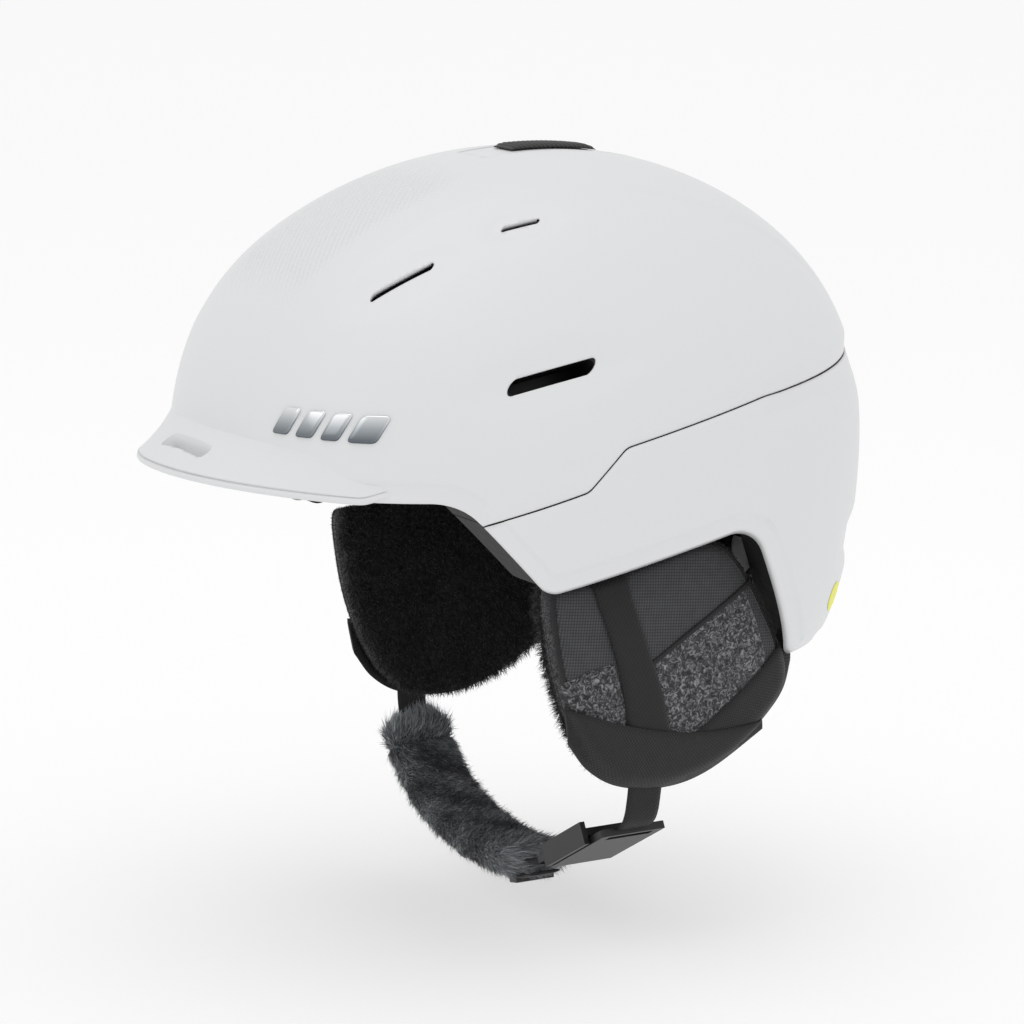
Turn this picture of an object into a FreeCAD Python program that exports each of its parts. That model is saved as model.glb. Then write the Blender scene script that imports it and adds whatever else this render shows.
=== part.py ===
import FreeCAD, Part
import math
import os

import Sketcher
from FreeCAD import Matrix, Placement, Rotation, Vector

# Ski helmet. +Z is up, the wearer faces -Y and +X is the wearer's left.
# The origin is the middle of the wearer's head at brow height. Millimetres.

os.makedirs("parts", exist_ok=True)
doc = FreeCAD.newDocument("ski_helmet")
sheet = doc.addObject("Spreadsheet::Sheet", "Sizes")

sizes = {
    # outer shape: arches about an axis parallel to X, each a squared ellipse
    "arch_axis_y": 8.0,
    "arch_axis_z": -30.0,
    "shell_half_width": 111.3,
    "arch_squareness": 2.47,
    "reach_front": 141.0,
    "reach_brow": 151.5,
    "reach_forehead": 164.5,
    "reach_fore_crown": 164.0,
    "reach_crown": 160.5,
    "reach_rear_crown": 160.5,
    "reach_upper_back": 155.0,
    "reach_back": 132.0,
    "reach_low_back": 120.0,
    "reach_nape": 109.5,
    # layers, counted inwards from the outer surface
    "shell_wall": 2.0,
    "bond_gap": 0.3,
    "foam_wall": 20.0,
    "slip_gap": 2.5,
    "slip_wall": 1.0,
    "pad_gap": 0.3,
    "pad_wall": 7.5,
    # lower edge of the shell, seen from the side
    "brow_height": 13.4,
    "temple_depth": 24.0,
    "ear_arch_height": 5.2,
    "nape_depth": 64.0,
    "seam_gap": 0.4,
    # brim
    "brim_reach": 18.3,
    "brim_tip_height": 18.0,
    "brim_root_height": 33.0,
    "brim_edge": 3.4,
    "brim_spread": 39.0,
    "brim_fade": 2.6,
    "brim_slot_width": 36.0,
    "brim_slot_height": 6.0,
    # crown vent slider
    "slider_length": 42.0,
    "slider_width": 15.0,
    "slider_height": 1.9,
    "slider_gap": 0.3,
    "slider_middle_y": 15.0,
    "slider_travel": 12.0,
    "track_length": 66.0,
    "track_width": 22.0,
    "track_wall": 2.4,
    "stem_width": 6.0,
    "stem_length": 12.0,
    "shutter_length": 44.0,
    "shutter_width": 34.0,
    "shutter_wall": 1.6,
    "slide_fit": 0.4,
    # goggle strap retainer at the back
    "clip_width": 26.0,
    "clip_pin_radius": 1.5,
    "hinge_fit": 0.05,
    # retention: ear pads, webbing and buckle
    "ear_pad_inner_x": 77.0,
    "ear_pad_wall": 12.0,
    "ear_pad_bottom": 105.0,
    "ear_cover_wall": 2.0,
    "webbing_width": 15.0,
    "webbing_wall": 1.3,
    "sleeve_wall": 1.6,
    "soft_gap": 0.3,
    "chin_pad_width": 28.0,
    "chin_pad_wall": 11.0,
    "buckle_length": 38.0,
    "buckle_width": 28.0,
    "buckle_base": 3.0,
    "buckle_clear": 1.0,
    "magnet_radius": 4.0,
    "magnet_wall": 1.6,
    # fit system
    "dial_radius": 17.0,
    "dial_wall": 8.0,
    "dial_drop": 2.0,
    "housing_back": 110.3,
    "rail_back": 122.3,
    "housing_wall": 12.0,
    "housing_radius": 20.0,
    "pinion_module": 1.0,
    "pinion_teeth": 10.0,
    "rack_wall": 2.0,
    "rack_height": 3.0,
    "band_width": 11.0,
    "band_wall": 1.6,
    "cradle_travel": 8.0,
    "rail_width": 16.0,
    "rail_wall": 2.4,
    # slip liner anchors
    "anchor_stem_radius": 2.5,
    "anchor_cap_radius": 11.0,
    "anchor_hole_radius": 9.0,
}
for row, (word, value) in enumerate(sizes.items(), start=1):
    sheet.set(f"A{row}", word)
    sheet.set(f"B{row}", str(value))
    sheet.setAlias(f"B{row}", word)
doc.recompute()


def size(word):
    return float(sheet.get(word))


subparts = []


# ---------------------------------------------------------------- helpers
def keep(item, label):
    item.Label = label
    subparts.append(item)
    return item


def freeform(label, shape):
    item = doc.addObject("Part::Feature", label)
    item.Shape = shape
    return keep(item, label)


def mirrored(source, label):
    item = doc.addObject("Part::Mirroring", label)
    item.Source = source
    item.Normal = Vector(1, 0, 0)
    return keep(item, label)


def new_body(label):
    return keep(doc.addObject("PartDesign::Body", label), label)


def sketch_on(body, role, name, lift=0.0):
    sketch = body.newObject("Sketcher::SketchObject", name)
    plane = next(f for f in body.Origin.OriginFeatures if f.Role == role)
    sketch.AttachmentSupport = [(plane, "")]
    sketch.MapMode = "FlatFace"
    sketch.AttachmentOffset = Placement(Vector(0, 0, lift), Rotation())
    return sketch


def polygon(sketch, points):
    first = sketch.GeometryCount
    count = len(points)
    for i, (a, b) in enumerate(points):
        c, d = points[(i + 1) % count]
        sketch.addGeometry(Part.LineSegment(Vector(a, b, 0), Vector(c, d, 0)))
    for i in range(count):
        sketch.addConstraint(
            Sketcher.Constraint("Coincident", first + i, 2, first + (i + 1) % count, 1)
        )


def centred_rectangle(sketch, wide, tall, wide_rule, tall_rule, u=0.0, v=0.0):
    # four lines whose width and height follow the sheet
    a, b = wide / 2, tall / 2
    first = sketch.GeometryCount
    polygon(sketch, [(u - a, v - b), (u + a, v - b), (u + a, v + b), (u - a, v + b)])
    for i, kind in enumerate(("Horizontal", "Vertical", "Horizontal", "Vertical")):
        sketch.addConstraint(Sketcher.Constraint(kind, first + i))
    across = sketch.addConstraint(Sketcher.Constraint("DistanceX", first, 1, first, 2, wide))
    up = sketch.addConstraint(Sketcher.Constraint("DistanceY", first + 1, 1, first + 1, 2, tall))
    left = sketch.addConstraint(Sketcher.Constraint("DistanceX", -1, 1, first, 1, u - a))
    low = sketch.addConstraint(Sketcher.Constraint("DistanceY", -1, 1, first, 1, v - b))
    sketch.setExpression(f"Constraints[{across}]", wide_rule)
    sketch.setExpression(f"Constraints[{up}]", tall_rule)
    sketch.setExpression(f"Constraints[{left}]", f"{u} - ({wide_rule}) / 2")
    sketch.setExpression(f"Constraints[{low}]", f"{v} - ({tall_rule}) / 2")


def circle(sketch, radius, rule, u=0.0, v=0.0):
    index = sketch.addGeometry(Part.Circle(Vector(u, v, 0), Vector(0, 0, 1), radius))
    ring = sketch.addConstraint(Sketcher.Constraint("Radius", index, radius))
    sketch.addConstraint(Sketcher.Constraint("DistanceX", -1, 1, index, 3, u))
    sketch.addConstraint(Sketcher.Constraint("DistanceY", -1, 1, index, 3, v))
    sketch.setExpression(f"Constraints[{ring}]", rule)


def pad(body, sketch, rule, midplane=False, reverse=False):
    feature = body.newObject("PartDesign::Pad", "Pad")
    feature.Profile = sketch
    feature.setExpression("Length", rule)
    feature.Midplane = midplane
    feature.Reversed = reverse
    doc.recompute()
    return feature


def pocket(body, sketch, rule, midplane=False, reverse=False):
    before = body.Shape.Volume
    feature = body.newObject("PartDesign::Pocket", "Pocket")
    feature.Profile = sketch
    feature.setExpression("Length", rule)
    feature.Midplane = midplane
    feature.Reversed = reverse
    doc.recompute()
    if body.Shape.Volume > before - 0.01:
        raise RuntimeError(f"{body.Label}: a pocket cuts nothing")
    return feature


def rounded(body, radius, pick):
    # fillet of the tip's edges that the test picks
    tip = body.Tip
    edges = [f"Edge{i}" for i, e in enumerate(tip.Shape.Edges, 1) if pick(e)]
    feature = body.newObject("PartDesign::Fillet", "Round")
    feature.Base = (tip, edges)
    feature.Radius = radius
    doc.recompute()
    return feature


def along(axis):
    # true for a straight edge that runs along the axis
    def test(edge):
        if edge.Curve.TypeId != "Part::GeomLine":
            return False
        way = edge.tangentAt(edge.FirstParameter)
        return abs(way.dot(axis)) > 0.99

    return test


def box(low, high):
    return Part.makeBox(high[0] - low[0], high[1] - low[1], high[2] - low[2], Vector(*low))


def solid_of(faces):
    shell = Part.makeShell(faces)
    shell.sewShape()
    solid = Part.makeSolid(shell)
    if solid.Volume < 0:
        solid.reverse()
    return solid


def rounded_wire(points, radii):
    # an open path of straight runs joined by tangent arcs
    edges = []
    start = points[0]
    for before, corner, after, radius in zip(points, points[1:], points[2:], radii):
        into = (before - corner).normalize()
        out = (after - corner).normalize()
        half = into.getAngle(out) / 2
        reach_back = radius / math.tan(half)
        one, two = corner + into * reach_back, corner + out * reach_back
        middle = (into + out).normalize()
        top = corner + middle * (radius / math.sin(half) - radius)
        edges += [Part.LineSegment(start, one).toShape(), Part.Arc(one, top, two).toShape()]
        start = two
    edges.append(Part.LineSegment(start, points[-1]).toShape())
    return edges


def ribbon(points, across, thick, width, wall):
    # a flat strip along a smooth path: across and thick are the strip's
    # width and thickness directions at each point
    def rail(side, face):
        curve = Part.BSplineCurve()
        curve.interpolate(
            [p + a * (side * width / 2) + t * (face * wall / 2)
             for p, a, t in zip(points, across, thick)]
        )
        return curve.toShape()

    corners = [rail(-1, -1), rail(1, -1), rail(1, 1), rail(-1, 1)]
    sides = [Part.makeRuledSurface(corners[i], corners[(i + 1) % 4]) for i in range(4)]
    ends = []
    for end in (0, -1):
        tips = [c.Vertexes[end].Point for c in corners]
        ends.append(Part.Face(Part.makePolygon(tips + tips[:1])))
    return solid_of(sides + ends)


# ---------------------------------------------------------------- outer shape
axis_y, axis_z = size("arch_axis_y"), size("arch_axis_z")
knots = [0, 20, 40, 60, 90, 120, 140, 165, 185, 208]
reaches = [
    size("reach_" + word)
    for word in ("front", "brow", "forehead", "fore_crown", "crown", "rear_crown",
                 "upper_back", "back", "low_back", "nape")
]


def spline_slopes(xs, ys):
    # second derivatives of the natural cubic spline, by elimination
    count = len(xs)
    second, work = [0.0] * count, [0.0] * count
    for i in range(1, count - 1):
        share = (xs[i] - xs[i - 1]) / (xs[i + 1] - xs[i - 1])
        p = share * second[i - 1] + 2
        second[i] = (share - 1) / p
        bend = (ys[i + 1] - ys[i]) / (xs[i + 1] - xs[i]) - (ys[i] - ys[i - 1]) / (xs[i] - xs[i - 1])
        work[i] = (6 * bend / (xs[i + 1] - xs[i - 1]) - share * work[i - 1]) / p
    for i in range(count - 2, -1, -1):
        second[i] = second[i] * second[i + 1] + work[i]
    return second


bends = spline_slopes(knots, reaches)


def reach(angle):
    # distance from the arch axis to the outer surface on the middle plane
    i = max(k for k in range(len(knots) - 1) if knots[k] <= max(angle, 0))
    step = knots[i + 1] - knots[i]
    b = (angle - knots[i]) / step
    a = 1 - b
    curve = (a**3 - a) * bends[i] + (b**3 - b) * bends[i + 1]
    return a * reaches[i] + b * reaches[i + 1] + curve * step**2 / 6


def shell_point(angle, lean, inset=0.0):
    # angle turns about the arch axis: 0 front, 90 up, 180 back.
    # lean goes from the middle plane, 0, to the wearer's left, 90.
    power = size("arch_squareness")
    side, out = math.sin(math.radians(lean)), math.cos(math.radians(lean))
    half, rise = size("shell_half_width") - inset, reach(angle) - inset
    far = ((abs(side) / half) ** power + (abs(out) / rise) ** power) ** (-1 / power)
    turn = math.radians(angle)
    return Vector(
        far * side, axis_y - far * out * math.cos(turn), axis_z + far * out * math.sin(turn)
    )


def shell_normal(angle, lean, inset=0.0):
    one = shell_point(angle + 0.5, lean, inset) - shell_point(angle - 0.5, lean, inset)
    two = shell_point(angle, lean + 0.5, inset) - shell_point(angle, lean - 0.5, inset)
    way = one.cross(two).normalize()
    away = shell_point(angle, lean, inset) - Vector(0, axis_y, axis_z)
    return way if way.dot(away) > 0 else -way


def spread(first, last, count):
    return [first + (last - first) * i / (count - 1) for i in range(count)]


def layer(outer, inner, angles=(4, 207), leans=(-86, 86), rows=22, columns=25):
    # a shell between two insets of the outer shape, over a range of angle and lean
    grids = []
    for inset in (outer, inner):
        surface = Part.BSplineSurface()
        surface.interpolate(
            [[shell_point(a, b, inset) for b in spread(*leans, columns)]
             for a in spread(*angles, rows)]
        )
        grids.append(surface)
    faces = [g.toShape() for g in grids]
    bounds = [g.bounds() for g in grids]
    for side in range(4):
        edges = []
        for g, (u0, u1, v0, v1) in zip(grids, bounds):
            iso = g.uIso((u0, u1)[side]) if side < 2 else g.vIso((v0, v1)[side - 2])
            edges.append(iso.toShape())
        faces.append(Part.makeRuledSurface(*edges))
    return solid_of(faces)


# side-view lines, y then z
def rim_points(raised=0.0):
    brow, temple = size("brow_height"), -size("temple_depth")
    arch, nape = -size("ear_arch_height"), -size("nape_depth")
    return [(-180, brow + raised), (-78, brow + raised), (-46 + raised * 0.2, temple + raised),
            (46 + raised, arch + raised), (72 + raised, nape + raised), (190, nape + raised)]


rim_rounds = (22, 9, 15, 8)
seam_points = [(-190, -25.5), (-29, 14.5), (-12, 29.6), (53, 43.0), (190, 60.5)]
seam_rounds = (8, 8, 60)


def above(points, radii, raised=0.0):
    # everything above a side-view line, as a thick prism along X
    half, top = 160, 260
    line = [Vector(-half, y, z + raised) for y, z in points]
    edges = rounded_wire(line, radii)
    first, last = line[0], line[-1]
    corners = [last, Vector(-half, last.y, top), Vector(-half, first.y, top), first]
    edges += [Part.LineSegment(a, b).toShape() for a, b in zip(corners, corners[1:])]
    return Part.Face(Part.Wire(Part.__sortEdges__(edges))).extrude(Vector(2 * half, 0, 0))


def turned(shape, origin, along_x, along_z):
    # moves a shape so that its X and Z lie along the directions given
    z = Vector(along_z).normalize()
    y = z.cross(along_x).normalize()
    x = y.cross(z)
    frame = Matrix(x.x, y.x, z.x, origin.x, x.y, y.y, z.y, origin.y, x.z, y.z, z.z, origin.z,
                   0, 0, 0, 1)
    moved = shape.copy()
    moved.Placement = Placement(frame).multiply(moved.Placement)
    return moved


def slot_cutter(start, end, width, deep=60.0):
    # a round-ended slot through the wall, between two (angle, lean) places
    one, two = shell_point(*start), shell_point(*end)
    middle = (one + two) / 2
    normal = shell_normal((start[0] + end[0]) / 2, (start[1] + end[1]) / 2)
    length = (two - one).Length
    block = box((-length / 2, -width / 2, -deep), (length / 2, width / 2, 12))
    upright = [e for e in block.Edges if along(Vector(0, 0, 1))(e)]
    return turned(block.makeFillet(width * 0.45, upright), middle, two - one, normal)


def both_sides(shapes):
    flat = Vector(0, 0, 0), Vector(1, 0, 0)
    return shapes + [s.mirror(*flat) for s in shapes]


vents = both_sides([
    slot_cutter((49, 19.8), (59, 22.1), 4.5),
    slot_cutter((71.2, 22.4), (77.5, 23.1), 4.0),
    slot_cutter((52.7, 42), (72.6, 46), 6.5),
    slot_cutter((129.5, 47), (135, 41.5), 7.0, 35),
    slot_cutter((138, 37.8), (142, 32), 7.0, 35),
])

# ---------------------------------------------------------------- shells and foam
shell_wall = size("shell_wall")
foam_out = shell_wall + size("bond_gap")
foam_in = foam_out + size("foam_wall")
# the fit system hangs at set distances in front of the foam
housing_y = size("housing_back") - foam_in
rail_y = size("rail_back") - foam_in
slip_out = foam_in + size("slip_gap")
slip_in = slip_out + size("slip_wall")
pad_out = slip_in + size("pad_gap")
pad_in = pad_out + size("pad_wall")

fit = size("slide_fit")
arc = reach(90)


def arc_of(length):
    # the angle at the arch axis of a length along the crown
    return math.degrees(length / arc)


slide_mid = 90 + arc_of(size("slider_middle_y") - axis_y)
slide_turn = arc_of(size("slider_travel"))


def crown_patch(outer, inner, length, width, ahead=0.0, behind=0.0):
    # a curved plate on the crown, longer by the angles ahead and behind
    half, lean = arc_of(length) / 2, arc_of(width) / 2
    angles = (slide_mid - half - ahead, slide_mid + half + behind)
    return layer(outer, inner, angles, (-lean, lean), 9, 7)


track_wall = size("track_wall")
shutter_out = track_wall + fit
shutter_in = shutter_out + size("shutter_wall")
track_hole = crown_patch(-6, foam_out + 3, size("track_length") + 0.4, size("track_width") + 0.4)
shutter_well = crown_patch(
    shell_wall - 1, shutter_in + 2 * fit, size("shutter_length"), size("shutter_width") + 3,
    0.6, slide_turn + 0.6,
)

rim = above(rim_points(), rim_rounds)
seam_up = above(seam_points, seam_rounds, size("seam_gap") / 2)
seam_down = above(seam_points, seam_rounds, -size("seam_gap") / 2)
whole = layer(0, shell_wall).common(rim)
upper = whole.common(seam_up)
lower = whole.cut(seam_down)
for cutter in vents:
    upper = upper.cut(cutter)
    lower = lower.cut(cutter)
upper = upper.cut(track_hole)

freeform("upper_shell", upper)
freeform("lower_shell", lower)

# the foam ends a little above the shell's edge and leaves room for the dial and
# its bands; each half is moulded into its own half of the shell
foam_edge = above(rim_points(2.0), rim_rounds)
foam = layer(foam_out, foam_in).common(foam_edge)
foam_upper, foam_lower = foam.common(seam_up), foam.cut(seam_down)
for cutter in vents:
    foam_upper = foam_upper.cut(cutter)
dial_z = -(size("nape_depth") + size("dial_drop"))
dial_room = size("dial_radius") + size("cradle_travel") + 3
dial_recess = box((-dial_room, 70, -120), (dial_room, 150, dial_z + dial_room + 3))
band_recess = box((-62, 40, -120), (62, housing_y + 11, -42))
foam_lower = foam_lower.cut(dial_recess).cut(band_recess)
# a thicker foam is relieved round the ear pads' snap mounts
mount_x = size("ear_pad_inner_x") + 6 + 2.4 + size("bond_gap")
for side in (1, -1):
    near, far = sorted((side * 60, side * mount_x))
    foam_lower = foam_lower.cut(box((near, -27.5, -21), (far, 34.5, 6.5)))
foam_upper = foam_upper.cut(shutter_well).cut(track_hole)


# ---------------------------------------------------------------- brim
def brow_spot(turn, height, out=0.0):
    # a place at the height, out from the shell, turned from straight ahead
    way = Vector(math.sin(math.radians(turn)), -math.cos(math.radians(turn)), 0)
    low, high = 60.0, 200.0
    for _ in range(40):
        middle = (low + high) / 2
        spot = way * middle
        y, z = spot.y - 2 * axis_y, height - axis_z
        flat = math.hypot(y + axis_y, z)
        edge = reach(math.degrees(math.atan2(z, -(y + axis_y))))
        power = size("arch_squareness")
        inside = (abs(spot.x) / size("shell_half_width")) ** power + (flat / edge) ** power < 1
        low, high = (middle, high) if inside else (low, middle)
    return way * (low + out) + Vector(0, 0, height)


def brim_section(turn):
    fade = 1 - (turn / size("brim_spread")) ** 2
    out = size("brim_reach") * max(fade, 0) ** size("brim_fade") + 1.5
    edge = size("brow_height") + (size("brim_tip_height") - size("brow_height")) * fade ** 2
    root = size("brim_root_height")
    clear = size("bond_gap")
    spots = [
        brow_spot(turn, root, clear),
        brow_spot(turn, edge + (root - edge) * 0.35, clear + out * 0.45),
        brow_spot(turn, edge + size("brim_edge") / 2, out),
        brow_spot(turn, edge - size("brim_edge") / 2, out - 1),
        brow_spot(turn, edge - size("brim_edge") / 2 - 2 * fade, out * 0.5),
        brow_spot(turn, size("brow_height"), clear),
    ]
    return Part.Wire(Part.makePolygon(spots + spots[:1]).Edges)


# the outermost sections stop where the brim has thinned into the shell
spread_turn = size("brim_spread") - 7
brim = Part.makeLoft([brim_section(t) for t in spread(-spread_turn, spread_turn, 13)], True, False)
slot_w, slot_h = size("brim_slot_width"), size("brim_slot_height")
slot_front = brow_spot(0, 27, size("brim_reach") * 0.45)
slot = box((-slot_w / 2, slot_front.y - slot_h / 2, -20), (slot_w / 2, slot_front.y + slot_h / 2, 60))
slot = slot.makeFillet(slot_h * 0.45, [e for e in slot.Edges if along(Vector(0, 0, 1))(e)])
hug = layer(-size("bond_gap"), 14, (6, 46), (-72, 72))
brim = max(brim.cut(slot).cut(hug).Solids, key=lambda s: s.Volume)
freeform("brow_visor", brim)

# each half of the foam is moulded into its own half of the shell
freeform("foam_upper", max(foam_upper.Solids, key=lambda s: s.Volume))
freeform("foam_lower", max(foam_lower.Solids, key=lambda s: s.Volume))

# ---------------------------------------------------------------- crown vent slider
track = crown_patch(fit, track_wall, size("track_length"), size("track_width"))
stem_slot = crown_patch(-3, 8, size("stem_length"), size("stem_width") + 2 * fit,
                        arc_of(fit), slide_turn + arc_of(fit))
freeform("slider_track", track.cut(stem_slot))
bar_low = -size("slider_gap")
slider = crown_patch(bar_low - size("slider_height"), bar_low, size("slider_length"),
                     size("slider_width"))
stem = crown_patch(bar_low - 0.5, shutter_out, size("stem_length"), size("stem_width"))
freeform("vent_slider", slider.fuse(stem).removeSplitter())
freeform("vent_shutter", crown_patch(shutter_out, shutter_in, size("shutter_length"),
                                     size("shutter_width")))

# ---------------------------------------------------------------- slip liner and comfort pads
anchor_spots = [(48, 25), (48, -25), (132, 25), (132, -25)]
liner_edge = box((-200, -200, 12), (200, 200, 200))
slip = layer(slip_out, slip_in, (22, 168), (-70, 70)).common(liner_edge)


def post(angle, lean, radius, start, end):
    # a round post through the wall between two insets
    foot, way = shell_point(angle, lean, start), -shell_normal(angle, lean)
    return Part.makeCylinder(radius, end - start, foot, way)


for angle, lean in anchor_spots:
    slip = slip.cut(post(angle, lean, size("anchor_hole_radius"), slip_out - 4, slip_in + 4))
freeform("slip_liner", slip)
stem_out, cap_out = foam_in + 0.4, slip_in + 3.8
freeform("slip_anchors", Part.makeCompound([
    post(a, b, size("anchor_stem_radius"), stem_out, cap_out + 1.0).fuse(
        post(a, b, size("anchor_cap_radius"), cap_out, cap_out + 1.5)).removeSplitter()
    for a, b in anchor_spots
]))


def comfort_pad(label, angles, leans):
    shape = layer(pad_out, pad_in, angles, leans, 11, 11)
    edge = box((-200, -200, 14), (200, 200, 200))
    return freeform(label, shape.common(edge))


comfort_pad("brow_pad", (21, 36), (-50, 50))
comfort_pad("crown_pad", (64, 114), (-22, 22))
mirrored(comfort_pad("side_pad_left", (40, 126), (50, 66)), "side_pad_right")
mirrored(comfort_pad("rear_pad_left", (144, 157), (14, 44)), "rear_pad_right")

# ---------------------------------------------------------------- fit system at the nape
rail_w, rail_t = size("rail_width"), size("rail_wall")
rail = box((-rail_w / 2, rail_y, -24), (rail_w / 2, rail_y + rail_t, 34))
rail_foot = box((-4, rail_y + rail_t, 20), (4, rail_y + 11.2, 32))
freeform("cradle_rail", rail.fuse(rail_foot).removeSplitter())

housing_t = size("housing_wall")
channel = box((-rail_w / 2 - 3, rail_y - 2.8, -32), (rail_w / 2 + 3, rail_y + rail_t + 2.2, 10))
channel = channel.cut(box((-rail_w / 2 - fit, rail_y - fit, -40),
                          (rail_w / 2 + fit, rail_y + rail_t + fit, 20)))
channel = channel.cut(box((-5, rail_y + rail_t, -40), (5, rail_y + rail_t + 5, 20)))
bridge = box((-10, housing_y - 1, -44), (10, rail_y - 2.8 + 0.4, -30))
plate = box((-24, housing_y - 3.6, dial_z - 16), (24, housing_y - 0.6, -30))
plate = plate.makeFillet(8, [e for e in plate.Edges if along(Vector(0, 1, 0))(e)])
freeform("occipital_cradle", channel.fuse([bridge, plate]).removeSplitter())
pad_block = box((-22, housing_y - 10.2, dial_z - 14), (22, housing_y - 3.9, -34))
pad_block = pad_block.makeFillet(8, [e for e in pad_block.Edges if along(Vector(0, 1, 0))(e)])
freeform("cradle_pad", pad_block)

module, teeth = size("pinion_module"), int(size("pinion_teeth"))
pitch_radius = module * teeth / 2
backlash = 0.16
rack_deep = size("rack_wall")
rack_low_y = housing_y + 5
face_back = Rotation(Vector(1, 0, 0), -90)


def facing_back(y, z=dial_z):
    # puts a body's own Z along +Y, at the dial's axis
    return Placement(Vector(0, y, z), face_back)


housing = new_body("dial_housing")
sketch = sketch_on(housing, "XY_Plane", "HousingRound")
circle(sketch, size("housing_radius"), "Sizes.housing_radius")
pad(housing, sketch, "Sizes.housing_wall")
slot_tall = 2 * (pitch_radius + 1.25 * module + size("rack_height") + fit)
sketch = sketch_on(housing, "XZ_Plane", "RackSlot")
centred_rectangle(sketch, 2 * size("housing_radius") + 4, rack_deep + 2 * fit,
                  "2 * Sizes.housing_radius + 4", "Sizes.rack_wall + 2 * Sizes.slide_fit",
                  0, rack_low_y - housing_y + rack_deep / 2)
rack_rule = (f"2 * (Sizes.pinion_module * Sizes.pinion_teeth / 2 + 1.25 * Sizes.pinion_module"
             f" + Sizes.rack_height + Sizes.slide_fit)")
pocket(housing, sketch, rack_rule, midplane=True)
sketch = sketch_on(housing, "XY_Plane", "DialBore", 3.0)
circle(sketch, pitch_radius + module + fit,
       "Sizes.pinion_module * (Sizes.pinion_teeth / 2 + 1) + Sizes.slide_fit")
pocket(housing, sketch, "Sizes.housing_wall", reverse=True)
housing.Placement = facing_back(housing_y)


def gear_outline():
    # straight-sided teeth, a gap at the top and bottom
    points = []
    for tooth in range(teeth):
        middle = 2 * math.pi * (tooth + 0.5) / teeth + math.pi / 2
        for radius, half in ((-1.25, 1.02), (0, 0.785 - backlash / 2), (0.9, 0.36)):
            r = pitch_radius + radius * module
            points.append((r, middle - (half * module - 0.04) / r))
        for radius, half in ((0.9, 0.36), (0, 0.785 - backlash / 2), (-1.25, 1.02)):
            r = pitch_radius + radius * module
            points.append((r, middle + (half * module - 0.04) / r))
    return [(r * math.cos(a), r * math.sin(a)) for r, a in points]


pinion = new_body("dial_pinion")
sketch = sketch_on(pinion, "XY_Plane", "Teeth")
polygon(sketch, gear_outline())
pad(pinion, sketch, "Sizes.rack_wall")
sketch = sketch_on(pinion, "XY_Plane", "Shaft", rack_deep)
circle(sketch, 3.0, "3")
pad(pinion, sketch, "Sizes.housing_wall - 5 - Sizes.rack_wall + 0.6")
pinion.Placement = facing_back(rack_low_y)

dial = new_body("fit_dial")
sketch = sketch_on(dial, "XY_Plane", "Knob")
circle(sketch, size("dial_radius"), "Sizes.dial_radius")
pad(dial, sketch, "Sizes.dial_wall")
sketch = sketch_on(dial, "XY_Plane", "Grip", size("dial_wall"))
circle(sketch, 2.2, "2.2", size("dial_radius") + 0.6, 0)
grip = pocket(dial, sketch, "Sizes.dial_wall * 0.7")
ring = dial.newObject("PartDesign::PolarPattern", "Grips")
ring.Originals = [grip]
ring.Axis = (sketch, ["N_Axis"])
ring.Angle = 360
ring.Occurrences = 14
dial.Tip = ring
doc.recompute()
dial.Placement = facing_back(housing_y + housing_t + 0.6)


def path_frames(points, facing=None):
    # width and thickness directions along a path: the width runs across the
    # path, the thickness faces out from the head or along the way given
    across, thick = [], []
    for i, p in enumerate(points):
        ahead = (points[min(i + 1, len(points) - 1)] - points[max(i - 1, 0)]).normalize()
        if facing is None:
            out = ahead.cross(Vector(0, 0, 1)).normalize()
            wide = out.cross(ahead).normalize()
        else:
            wide = facing
            out = ahead.cross(wide).normalize()
        across.append(wide)
        thick.append(out)
    return across, thick


def fit_band(label, side):
    # a toothed rack in the housing that carries a flexible arm round the head
    band_z = dial_z + side * (pitch_radius + 1.25 * module + size("rack_height") / 2)
    y0, y1 = rack_low_y, rack_low_y + rack_deep
    root = pitch_radius + 1.25 * module
    low, high = sorted((side * root, side * (root + size("rack_height"))))
    rack = box((-16, y0, dial_z + low), (33, y1, dial_z + high))
    for count in range(-1, 6):
        x = count * math.pi * module
        half = (0.785 - backlash / 2) * module - 0.04
        spots = []
        for rise, grow in ((root + 0.1, 0.42), (pitch_radius - 0.9 * module, -0.33)):
            spots.append((grow * module, rise))
        (g0, r0), (g1, r1) = spots
        outline = [(x - half - g0, r0), (x + half + g0, r0), (x + half + g1, r1),
                   (x - half - g1, r1)]
        corners = [Vector(a, y0, dial_z + side * b) for a, b in outline]
        tooth = Part.Face(Part.makePolygon(corners + corners[:1]))
        rack = rack.fuse(tooth.extrude(Vector(0, rack_deep, 0)))
    y = (y0 + y1) / 2
    route = [Vector(*p) for p in (
        (31, y, band_z), (44, 89.5, band_z + side * 0.5 + 3), (57, 77, -50), (67, 60, -36),
        (71.5, 38, -23), (73.3, 12, -13), (73.3, -12, -8), (72, -30, -5))]
    arm = ribbon(route, *path_frames(route), size("band_width"), size("band_wall"))
    shape = rack.removeSplitter().fuse(arm).removeSplitter()
    if side < 0:
        shape = shape.mirror(Vector(0, 0, 0), Vector(1, 0, 0))
    return freeform(label, shape)


fit_band("fit_band_left", 1)
fit_band("fit_band_right", -1)

# ---------------------------------------------------------------- goggle strap retainer
clip_half = size("clip_width") / 2
base_angles, clip_angles = (164.5, 181), (164.5, 180)
base = layer(-2.2, -0.2, base_angles, (-6.5, 6.5), 9, 7)
hinge_at = shell_point(163.2, 0, -6.2)
pin_r = size("clip_pin_radius")
x_way = Vector(1, 0, 0)


def knuckle(low, high, grow):
    # a round ear about the clip's pin, reaching back to the shell
    tube = Part.makeCylinder(pin_r + 1.8, high - low, hinge_at + x_way * low, x_way)
    hole = Part.makeCylinder(pin_r + grow, high - low, hinge_at + x_way * low, x_way)
    return tube, hole


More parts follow.
